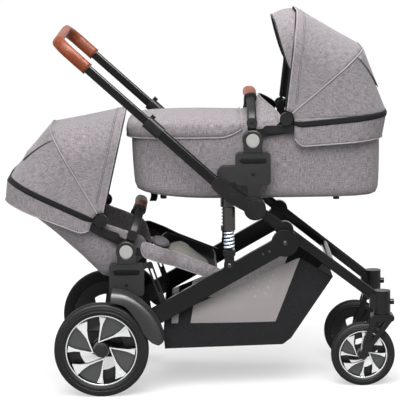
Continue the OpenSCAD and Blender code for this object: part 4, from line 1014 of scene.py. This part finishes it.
# Carrycot tub: mélange cloth over a padded wall, turned over a firm rim and lined black, closed by
# a black base with a piped seam. A mattress in pale cotton lies on its floor.
melange = woven("melange_cloth", (0.092, 0.083, 0.099), (0.43, 0.388, 0.400))
lining = woven("black_lining", (0.008, 0.008, 0.009), (0.022, 0.022, 0.024), sheen=0.1)
cotton = woven("pale_cotton", (0.55, 0.54, 0.53), (0.74, 0.73, 0.72))
dark_seam = grained("dark_seam", (0.050, 0.046, 0.049), (0.085, 0.078, 0.082), 0.9, 1500, 0.5)
rim_level, base_level = 28, -187
tub_foot, tub_head, tub_half, tub_power = -372, 396, 192, 5.5
draw_in_foot, draw_in_head, draw_in_side = 8, 2.4, 5.6
foot_rise, foot_rise_from, foot_rise_run = 24, -110, 262
tub_section = [(-175, 178), (-175, 90), (-174, 44), (-163, 16), (-140, 12), (-40, 11), (20, 11), (29, 9),
               (32, 5.5), (29, 2), (22, 0), (0, -1), (-40, -2), (-90, -2), (-140, -1), (-163, 0.5),
               (-173, 3.5), (-180, 8.5), (-185, 15), (-187, 24), (-187, 100), (-187, 180)]
lining_share, base_share = 8 / 21, 18.5 / 21
mattress_section = [(-174.4, 180), (-174.4, 60), (-171, 48), (-163, 34), (-150, 31), (-143, 36), (-139, 48),
                    (-137, 90), (-136, 130), (-135.5, 180)]


def superring(s, low, high, half, power=4.2):
    """A point of a rounded oblong between low and high along the unit, and half its width."""
    return ((low + high) / 2 + (high - low) / 2 * squared(cos(2 * pi * s), power),
            half * squared(sin(2 * pi * s), power))


def through(stations, t):
    """Linear walk through a list of stations, t from 0 to 1."""
    at = t * (len(stations) - 1)
    k = min(int(at), len(stations) - 2)
    return [p + (q - p) * (at - k) for p, q in zip(stations[k], stations[k + 1])]


def tub_ring(s, level, inset):
    """A point of the tub at a level, inset from its outline, which draws in and rises at the foot."""
    down = (rim_level - level) / (rim_level - base_level)
    a, y = superring(s, inset + tub_foot + draw_in_foot * down, tub_head - inset - draw_in_head * down,
                     tub_half - inset - draw_in_side * down, tub_power)
    rise = foot_rise * max(0, (foot_rise_from - a) / foot_rise_run) ** 2
    return cot(a, y, level + rise * down)


def stuffed(name, spot, columns, rows, finishes, body, inside, fill, stands_for=None, **more):
    """A padded form: a skin that closes on itself round its filling."""
    obj = panel(name, spot, columns, rows, finishes, body, inside, thick=0, wraps=True, **more)
    if stands_for:
        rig.replaces(obj, stands_for)
    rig.padded(obj, fill=fill)


def piping(name, spot, radius, finish, body, steps=80, skip=0, closed=False):
    """A cord sewn in along spot(0) to spot(1), less the steps that are skipped at both ends."""
    count = steps if closed else steps + 1
    points = [spot(i / steps) for i in range(skip, count - skip)]
    return wire(name, points, radius, finish, "cloth", body, closed)


stuffed("cot_tub", lambda s, t: tub_ring(s, *through(tub_section, t)), 112, 63,
        [melange, lining, moulded_black], "carrycot", cot(14, 0, -60), 0.8, "cot_shell",
        finish_of=lambda s, t: 1 if t < lining_share else 2 if t > base_share else 0)
piping("cot_base_piping", lambda u: tub_ring(u, -179, 7.5), 1.6, dark_seam, "carrycot", 120, closed=True)
stuffed("cot_mattress_dressed", lambda s, t: tub_ring(s, *through(mattress_section, t)), 96, 27, [cotton],
        "carrycot", cot(14, 0, -156), 0.7, "cot_mattress", slot="padding")

# Carry strap: a short loop of black webbing under the tub's foot end, sewn to the base at its
# upper end and hanging free.
webbing = woven("black_webbing", (0.006, 0.006, 0.0065), (0.016, 0.016, 0.017), rough=0.8, sheen=0.03)
strap_a, strap_y, strap_level, strap_wide, strap_drop = -322, 20, -184, 22, 38
strap_sway, strap_curl, strap_curl_turn = 5, 9, 2.4


def carry_strap(s, t):
    """A point on the strap, from the base down."""
    return cot(strap_a + strap_wide * s + strap_sway * sin(pi * t),
               strap_y + strap_curl * sin(strap_curl_turn * t), strap_level - strap_drop * t)


panel("cot_strap", carry_strap, 6, 14, [webbing], "carrycot", cot(-310, 0, -200), thick=2, held="hung",
      rests_on=["cot_tub"])

# Apron: a lined cloth cover snapped over the foot end, with a piped hem, and a wind collar that
# stands up in front of the safety bar and is black inside.
pale_piping = grained("pale_piping", (0.22, 0.20, 0.207), (0.30, 0.273, 0.28), 0.85, 1500, 0.5)
lined = [melange, lining]
apron_middle, apron_length, apron_half = 12, 396, 195.3
apron_front, apron_hem_level, front_hem_rise, front_hem_share = -31, 4, 26, 0.1
apron_crown, apron_crown_fall, apron_crown_a, apron_crown_run = 64, 6, -200, 180
apron_power, foot_power, foot_lip = 5, 5.5, 5
collar_middle_a, collar_middle_b, collar_side_a, collar_side_b, collar_bow = 24, 118, 112, 58, 16


def apron_top(a):
    """Height of the apron along its centre line."""
    return apron_crown - apron_crown_fall * ((a - apron_crown_a) / apron_crown_run) ** 2


def apron_cross(s):
    """Across the apron from hem to hem: share of the half-width and share of the height."""
    return -squared(cos(pi * s), apron_power), abs(squared(sin(pi * s), apron_power))


def apron(s, t, proud=0.0):
    """A point on the apron, or proud of it, from its front edge to the foot end."""
    near = (apron_middle - apron_front) / apron_length
    x = near + (1 - near) * (1 - (1 - t) ** 2.2)
    a = apron_middle - apron_length * x
    y, up = apron_cross(s)
    narrow = max(0, 1 - x ** foot_power) ** (1 / foot_power)
    share = up * max(0, 1 - x ** 26) ** (1 / 4)
    hem = apron_hem_level + front_hem_rise * max(0, 1 - t / front_hem_share) ** 2
    lip = foot_lip * x ** 14 * sin(pi * min(1, share + 0.15))
    return cot(a - lip - proud * x ** 9, (apron_half + proud) * narrow * y,
               hem + (apron_top(a) - hem) * share + proud * up)


def collar(s, t):
    """A point on the wind collar, from the apron's front edge up to its own edge."""
    y, up = apron_cross(s)
    q = y * y
    lip_a = (apron_front + (collar_middle_a - apron_front) * (1 - q)
             + (collar_side_a - apron_front) * q * (0.45 + 0.55 * up))
    lip_b = collar_middle_b * (1 - q) + collar_side_b * q if up > 0.7 else rim_level * (0.5 + 1.95 * up)
    base_b = apron_hem_level + (apron_top(apron_front) - apron_hem_level) * up
    bow = t * (1 - t) * collar_bow * up
    return cot(apron_front + (lip_a - apron_front) * t + bow, apron_half * y,
               base_b + (lip_b - base_b) * t - bow)


cover = panel("cot_cover", apron, 64, 36, lined, "carrycot", cot(-150, 0, 0), held="stretched",
              rests_on=["cot_tub"])
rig.replaces(cover, "cot_apron")
panel("cot_wind_collar", collar, 64, 10, lined, "carrycot", cot(-60, 0, 0), held="hung",
      rests_on=["cot_cover"])
hem_steps, hem_proud = 60, 0.8
hem = [apron(0, i / hem_steps, hem_proud) for i in range(hem_steps + 1)]
hem += [apron(1, 1 - i / hem_steps, hem_proud) for i in range(hem_steps + 1)]
wire("cot_cover_hem", hem, 1.7, pale_piping, "cloth", "carrycot")
piping("cot_cover_edge", lambda u: apron(u, 0, 1.2), 1.9, pale_piping, "carrycot", 64)
piping("cot_collar_edge", lambda u: collar(u, 1), 1.9, pale_piping, "carrycot", 64)

# Hoods: mélange cloth over a front and a middle bow, sewn in panels with piped seams, a black zip band
# along the hem and black lining; each panel folds between the two bows that hold it.
hinge_a, hinge_b = 103, 63
hood_half, hood_corner, hood_root = 220, 120, 25
bows = ((315, 1), (315, 40), (325, 83))
hem_angle, middle_angle, front_angle = (angle for _, angle in bows)
fold_end_angle, fold_arm = 74, 300
hood_sag = 0.006
hood_grid, flap_grid, skirt_grid, zip_grid = (80, 16), (40, 8), (80, 10), (80, 4)
zip_wide, zip_proud = 18, 1.6
flap_half_share, flap_taper_share, flap_start, flap_run = 0.205, 0.085, 0.985, 0.60


def arch(u, reach, half, corner):
    """A bow's arch from the right hinge over the top: distance from the hinge line, and place across."""
    leg, bend, top = reach - corner - hood_root, corner * pi / 2, half - corner
    run = min(u, 1 - u) * 2 * (leg + bend + top)
    side = -1 if u < 0.5 else 1
    if run < leg:
        return hood_root + run, side * half
    if run < leg + bend:
        turn = (run - leg) / corner
        return reach - corner + corner * sin(turn), side * (half - corner + corner * cos(turn))
    return reach, side * (half - corner - (run - leg - bend))


def hood(u, t, proud=0.0):
    """A point on the hood: t is 0 at the hem, 1 at the middle bow and 2 at the front bow."""
    k = min(int(t), 1)
    ends = []
    for reach, angle in bows[k:k + 2]:
        out, y = arch(u, reach + proud, hood_half + proud, hood_corner + proud)
        ahead, up = polar(out, angle)
        ends.append(Vector((ahead, y, up)))
    point = ends[0].lerp(ends[1], t - k)
    swell = 1 - hood_sag * sin(pi * (t - k))
    return hinge_a + point.x * swell, point.y, hinge_b + point.z * swell


def clamped(share):
    """A share, kept between zero and one."""
    return min(1, max(0, share))


def bend_with(obj, low_body, high_body, unit, low, high):
    """Lets a hood panel fold: each point turns by its angle about the hinge, from low to high degrees."""
    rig.blend(obj, low_body, high_body, unit(hinge_a + fold_arm, 0, hinge_b),
             unit(hinge_a, 0, hinge_b + fold_arm))
    origin = unit(hinge_a, 0, hinge_b)
    ahead = (unit(hinge_a + 1, 0, hinge_b) - origin) / mm
    up = (unit(hinge_a, 0, hinge_b + 1) - origin) / mm
    weights = []
    for vert in obj.data.vertices:
        out = vert.co - origin
        weights.append(clamped((degrees(atan2(out.dot(up), out.dot(ahead))) - low) / (high - low)))
    obj.data.attributes["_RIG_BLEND"].data.foreach_set("value", np.array(weights, np.float32))


def behind_front(u, distance, proud):
    """A point on the hood an even distance behind its front edge."""
    out, _ = arch(u, bows[2][0], hood_half, hood_corner)
    return hood(u, 2 - min(0.9, degrees(distance / out) / (front_angle - middle_angle)), proud)


def vent_flap(u, t):
    """The flap over the vent: from the middle bow back along the top, and narrower to its free edge."""
    across = 0.5 + (2 * u - 1) * (flap_half_share - flap_taper_share * t)
    return hood(across, flap_start - flap_run * t, 2.5 + 3 * t)


def skirt(u, t, drop, tuck, proud=0.0):
    """The flap below a hood's hem, drawn in towards its free edge, with rounded front corners."""
    reach, turn = bows[0][0], radians(hem_angle)
    out, y = arch(u, reach + proud, hood_half + proud, hood_corner + proud)
    far = (out - hood_root) / (reach - hood_root)
    low_out, low_y = arch(u, reach - tuck + proud, hood_half - tuck / 4 + proud, hood_corner + proud)
    fall = (drop[0] + (drop[1] - drop[0]) * far) * (1 - 0.3 * max(0, 1 - far * 9) ** 2)
    return (hinge_a + out * cos(turn) * (1 - t) + low_out * t, y + (low_y - y) * t,
            hinge_b + out * sin(turn) * (1 - t) - fall * t)


def zip_band(u, t, drop, tuck, lean, tail):
    """The zip's tape: it leaves the hinge below the hem and reaches the hem at the tail."""
    reach = bows[0][0]
    out, _ = arch(u, reach, hood_half, hood_corner)
    far = (out - hood_root) / (reach - hood_root)
    deep = lean + (tail - lean) * far - zip_wide * t
    if deep < 0:
        return hood(u, -deep / (radians(middle_angle) * out), zip_proud)
    return skirt(u, deep / (drop[0] + (drop[1] - drop[0]) * far), drop, tuck, zip_proud)


def hood_set(name, unit, body, drop, tuck, lean, tail):
    """The two panels and the skirt of one hood, with its vent flap, seams, binding and zip band."""
    inside = unit(hinge_a + 120, 0, hinge_b + 60)
    mid_body, front_body = name + "_hood_middle", name + "_hood_front"
    rear_fold = body, mid_body, unit, hem_angle, middle_angle
    front_fold = mid_body, front_body, unit, middle_angle, fold_end_angle
    low = panel(name + "_hood_rear_panel", lambda s, t: unit(*hood(s, t)), *hood_grid, lined, None, inside,
                held="stretched", rests_on=[name + "_hood_middle_bow"])
    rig.replaces(low, name + "_hood_canopy")
    high = panel(name + "_hood_front_panel", lambda s, t: unit(*hood(s, 1 + t)), *hood_grid, lined, None,
                 inside, held="stretched", rests_on=[name + "_hood_front_bow"])
    flap = panel(name + "_vent_flap", lambda s, t: unit(*vent_flap(s, t)), *flap_grid, lined, None, inside,
                 thick=2, held="hung", rests_on=[low.name])
    bend_with(low, *rear_fold)
    bend_with(high, *front_fold)
    bend_with(flap, *rear_fold)
    panel(name + "_hood_skirt", lambda s, t: unit(*skirt(s, t, drop, tuck)), *skirt_grid, lined, body,
          unit(200, 0, 20), held="hung", rests_on=[low.name])
    panel(name + "_zip_band", lambda s, t: unit(*zip_band(s, t, drop, tuck, lean, tail)), *zip_grid,
          [webbing], body, inside, thick=1.2, held="stretched", rests_on=[low.name])
    for label, spot, radius, finish, rider in (
            ("_middle_piping", lambda u: hood(u, 1, 1.2), 1.9, pale_piping, mid_body),
            ("_middle_seam", lambda u: hood(u, flap_start, 0.3), 1.3, dark_seam, mid_body),
            ("_front_binding", lambda u: hood(u, 2, -1), 1.8, pale_piping, front_body),
            ("_skirt_piping", lambda u: skirt(u, 1, drop, tuck), 1.9, pale_piping, body)):
        piping(name + label, lambda u: unit(*spot(u)), radius, finish, rider)
    for label, distance in (("_front_seam", 30), ("_front_stitch", 25)):
        line = piping(name + label, lambda u: unit(*behind_front(u, distance, 0.3)), 1.0, dark_seam, None,
                      skip=3)
        bend_with(line, *front_fold)


hood_set("cot", cot, "carrycot", drop=(88, 70), tuck=14, lean=30, tail=9)
hood_set("seat", seat, "seat_unit", drop=(60, 52), tuck=14, lean=20, tail=-3)

# Visor: a peak of lined cloth sewn to the carrycot hood's front edge and held up by the front bow,
# with a black binding along its free edge.
visor_setback, visor_half_inset, visor_run_out, visor_wide, visor_root = 9, 4, 150, 66, 5.1


def visor(u, t):
    """The peak past the front bow: widest over the face, run out at both sides, and drooping."""
    reach, turn = bows[2][0] - visor_setback, radians(front_angle)
    out, y = arch(u, reach, hood_half - visor_half_inset, hood_corner - visor_setback)
    grow = max(0, (out - visor_run_out) / (reach - visor_run_out)) ** 0.8 * visor_wide * t + visor_root
    droop = grow * grow / 190
    return cot(hinge_a + out * cos(turn) - grow * sin(turn), y * (1 - grow / 2600),
               hinge_b + out * sin(turn) + grow * cos(turn) - droop)


peak = panel("cot_visor", visor, 80, 8, lined, "cot_hood_front", cot(60, 0, 200), held="stretched",
             rests_on=["cot_hood_front_bow"])
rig.replaces(peak, "cot_hood_visor")
piping("cot_visor_edge", lambda u: visor(u, 1), 2.2, lining, "cot_hood_front")

# Rear seat: a padded tub of mélange cloth, deepest at the hips and gathered there, lined black,
# riveted to the seat's rails, with a black pad on its floor.
seat_toe, seat_head, seat_half_width, seat_deep = -78, 409, 190, 125
low_shares = ((-0.19, 0.06), (-0.04, 0.88), (0.1, 0.92), (0.3, 0.6), (0.55, 0.26), (0.75, 0.04), (1, -0.17))
brim_level, brim_turn, brim_slope_head, brim_slope_toe = 46.6, 78, 0.085, 0.02
toe_dip, toe_dip_from, toe_dip_run, toe_dip_half, toe_dip_ease = 34, -30, 44, 178, 40
gather_deep, gather_pitch, gather_middle, gather_reach, gather_from = 4, 44, 40, 90, 0.35
seat_section = [(1, 178, 8), (1, 80, 8), (0.9, 46, 8), (0.72, 23, 2), (0.4, 8, 0), (0.06, 8, 0),
                (-0.03, 6, 0), (-0.05, 4, 0), (-0.03, 1, 0), (0.06, 0, 0), (0.4, 0, 0), (0.6, 6, 0),
                (0.75, 15, 0), (0.86, 26, 0), (0.93, 38, 0), (0.98, 58, 0), (1, 80, 0), (1, 178, 0)]
seat_lining_share = 4 / 17
pad_section = [(1, 178, 12), (1, 90, 12), (1, 70, 15), (1, 66, 21), (1, 70, 28), (1, 90, 31.5), (1, 178, 32)]


def seat_ring(s, fall, inset, lift):
    """A point of the seat's tub: fall is 0 at the brim and 1 at the underside, which lift raises."""
    a, y = superring(s, seat_toe + inset, seat_head - inset * 0.7, seat_half_width - inset)
    brim = brim_level + (brim_slope_head if a > brim_turn else brim_slope_toe) * (a - brim_turn)
    brim -= (toe_dip * clamped((toe_dip_from - a) / toe_dip_run)
             * clamped((toe_dip_half - abs(y)) / toe_dip_ease))
    gather = max(0, 1 - ((a - gather_middle) / gather_reach) ** 2) * max(0, fall - gather_from)
    y += copysign(gather_deep * gather * sin(2 * pi * a / gather_pitch), y)
    low = -seat_deep * read_off(low_shares, a / seat_head)
    return seat(a, y, brim * (1 - fall) + (low + lift) * fall)


stuffed("seat_tub", lambda s, t: seat_ring(s, *through(seat_section, t)), 176, 51, lined, "seat_unit",
        seat(150, 0, -20), 0.8, "seat_shell", finish_of=lambda s, t: 1 if t < seat_lining_share else 0)
stuffed("seat_cushion", lambda s, t: seat_ring(s, *through(pad_section, t)), 96, 24, [lining], "seat_unit",
        seat(150, 0, -60), 0.7, "seat_pad", slot="padding")

# Leg rest: a padded tray of mélange cloth hinged to the seat's front edge, lined black, with
# stretched cloth flanks that join its sides to the seat's and hide the hinge plates.
rest_toe, rest_hip, rest_half, rest_floor, rest_slope = -298, -93, 178, 8, 0.02
rest_wall_from, rest_wall_ease, rest_end_share = 115, 40, 0.15
rest_section = [(0, 170), (0, 60), (-2, 20), (0, 7), (6, 2), (18, 0), (30, 1), (36.5, 5), (38.5, 11),
                (36, 17), (26, 21), (14, 24), (9, 32), (8, 60), (8, 170)]
rest_lining_share = 7.5 / 14
flank_start, flank_length, flank_half, flank_narrow = -40, 252, 211, 29
flank_ease_from, flank_ease_run = 55, 70
flank_top, flank_top_fall, flank_low, flank_swell = 44, 0.035, -3, 4
flank_corner, flank_corner_low, flank_corner_top = 24, 22, 7
flank_columns, flank_rows, corner_steps = 60, 10, 8


def leg_rest(s, level, inset):
    """The leg rest's tray: padded walls along both sides, and low at both ends."""
    a, y = superring(s, rest_toe + inset, rest_hip - inset, rest_half - inset, power=5)
    wall = clamped((abs(y) - rest_wall_from) / rest_wall_ease)
    if level > rest_floor:
        level = rest_floor + (level - rest_floor) * (rest_end_share + (1 - rest_end_share) * wall)
    return seat(a, y, level + rest_slope * (a - rest_hip))


stuffed("seat_leg_rest", lambda s, t: leg_rest(s, *through(rest_section, t)), 112, 56, lined, "leg_rest",
        seat(-196, 0, 4), 0.8, "leg_rest", finish_of=lambda s, t: 1 if t > rest_lining_share else 0)


def side_cloth(sign):
    """The cloth that joins the seat's side to the leg rest's side, outside the hinge plate."""
    def spot(s, t):
        run = flank_length * s
        ease = clamped((run - flank_ease_from) / flank_ease_run)
        y = flank_half - flank_narrow * ease * ease * (3 - 2 * ease)
        corner = max(0, 1 - run / flank_corner)
        top = flank_top - flank_top_fall * run - flank_corner_top * corner ** 3
        low = flank_low + flank_corner_low * corner ** 2
        return seat(flank_start - run, sign * (y + flank_swell * sin(pi * t)), low + (top - low) * t)
    return spot


flank_fold = "seat_unit", "leg_rest", seat(-76, 0, 14), seat(-106, 0, 14)
for side, sign in hands.items():
    spot = side_cloth(sign)
    flank = panel("seat_flank_" + side, spot, flank_columns, flank_rows, lined, None, seat(-150, 0, 20),
                  thick=2.5, held="stretched", rests_on=["seat_leg_rest"])
    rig.blend(flank, *flank_fold)
    edge = [spot(i / flank_columns, 0) for i in range(flank_columns, -1, -1)]
    edge += [spot(0, i / corner_steps) for i in range(1, corner_steps + 1)]
    edge += [spot(i / flank_columns, 1) for i in range(1, flank_columns + 1)]
    hem = wire("seat_flank_edge_" + side, edge, 1.6, pale_piping, "cloth", None)
    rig.blend(hem, *flank_fold)

# Quilt and crotch pad: a folded beige quilt that lies loose on the leg rest's floor, and a small
# stuffed guard of mélange cloth sewn to the middle of the seat's front edge.
quilt_cloth = woven("beige_quilt", (0.23, 0.21, 0.19), (0.42, 0.39, 0.355))
quilt_rise = ((-269, 10), (-220, 29), (-185, 45), (-160, 53), (-140, 47), (-126, 34))
quilt_toe, quilt_hip, quilt_half, quilt_level = -269, -126, 92, 8.4
quilt_end_draw, quilt_side_draw_share = 60, 0.94
guard_a, guard_level, guard_long, guard_half, guard_tall = -100, 25, 30, 46, 17


def quilt(s, t):
    """A folded pad, thick at the hips and thin at the feet: its underside first, then its top."""
    under, over = 1 - min(1, 2 * t), max(0, 2 * t - 1)
    draw = under + over
    a, y = superring(s, quilt_toe + quilt_end_draw * draw, quilt_hip - quilt_end_draw * draw,
                     quilt_half * (1 - quilt_side_draw_share * draw), power=3)
    return seat(a, y, quilt_level + (read_off(quilt_rise, a) - quilt_level) * over ** 0.35)


def crotch_pad(s, t):
    """A small stuffed guard, round in all its sections."""
    turn, lift = 2 * pi * s, pi * (t - 0.5)
    return seat(guard_a + guard_long * cos(turn) * cos(lift), guard_half * sin(turn) * cos(lift),
                guard_level + guard_tall * sin(lift))


stuffed("seat_quilt", quilt, 56, 24, [quilt_cloth], "leg_rest", seat(-190, 0, 20), 0.8)
stuffed("seat_crotch_pad", crotch_pad, 32, 16, [melange], "seat_unit", seat(guard_a, 0, guard_level), 0.8)

box = {"cad": [list(c) for c in cad_box], "visual": [list(c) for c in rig.bounds()]}
with open("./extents.json", "w") as out:
    json.dump(box, out)
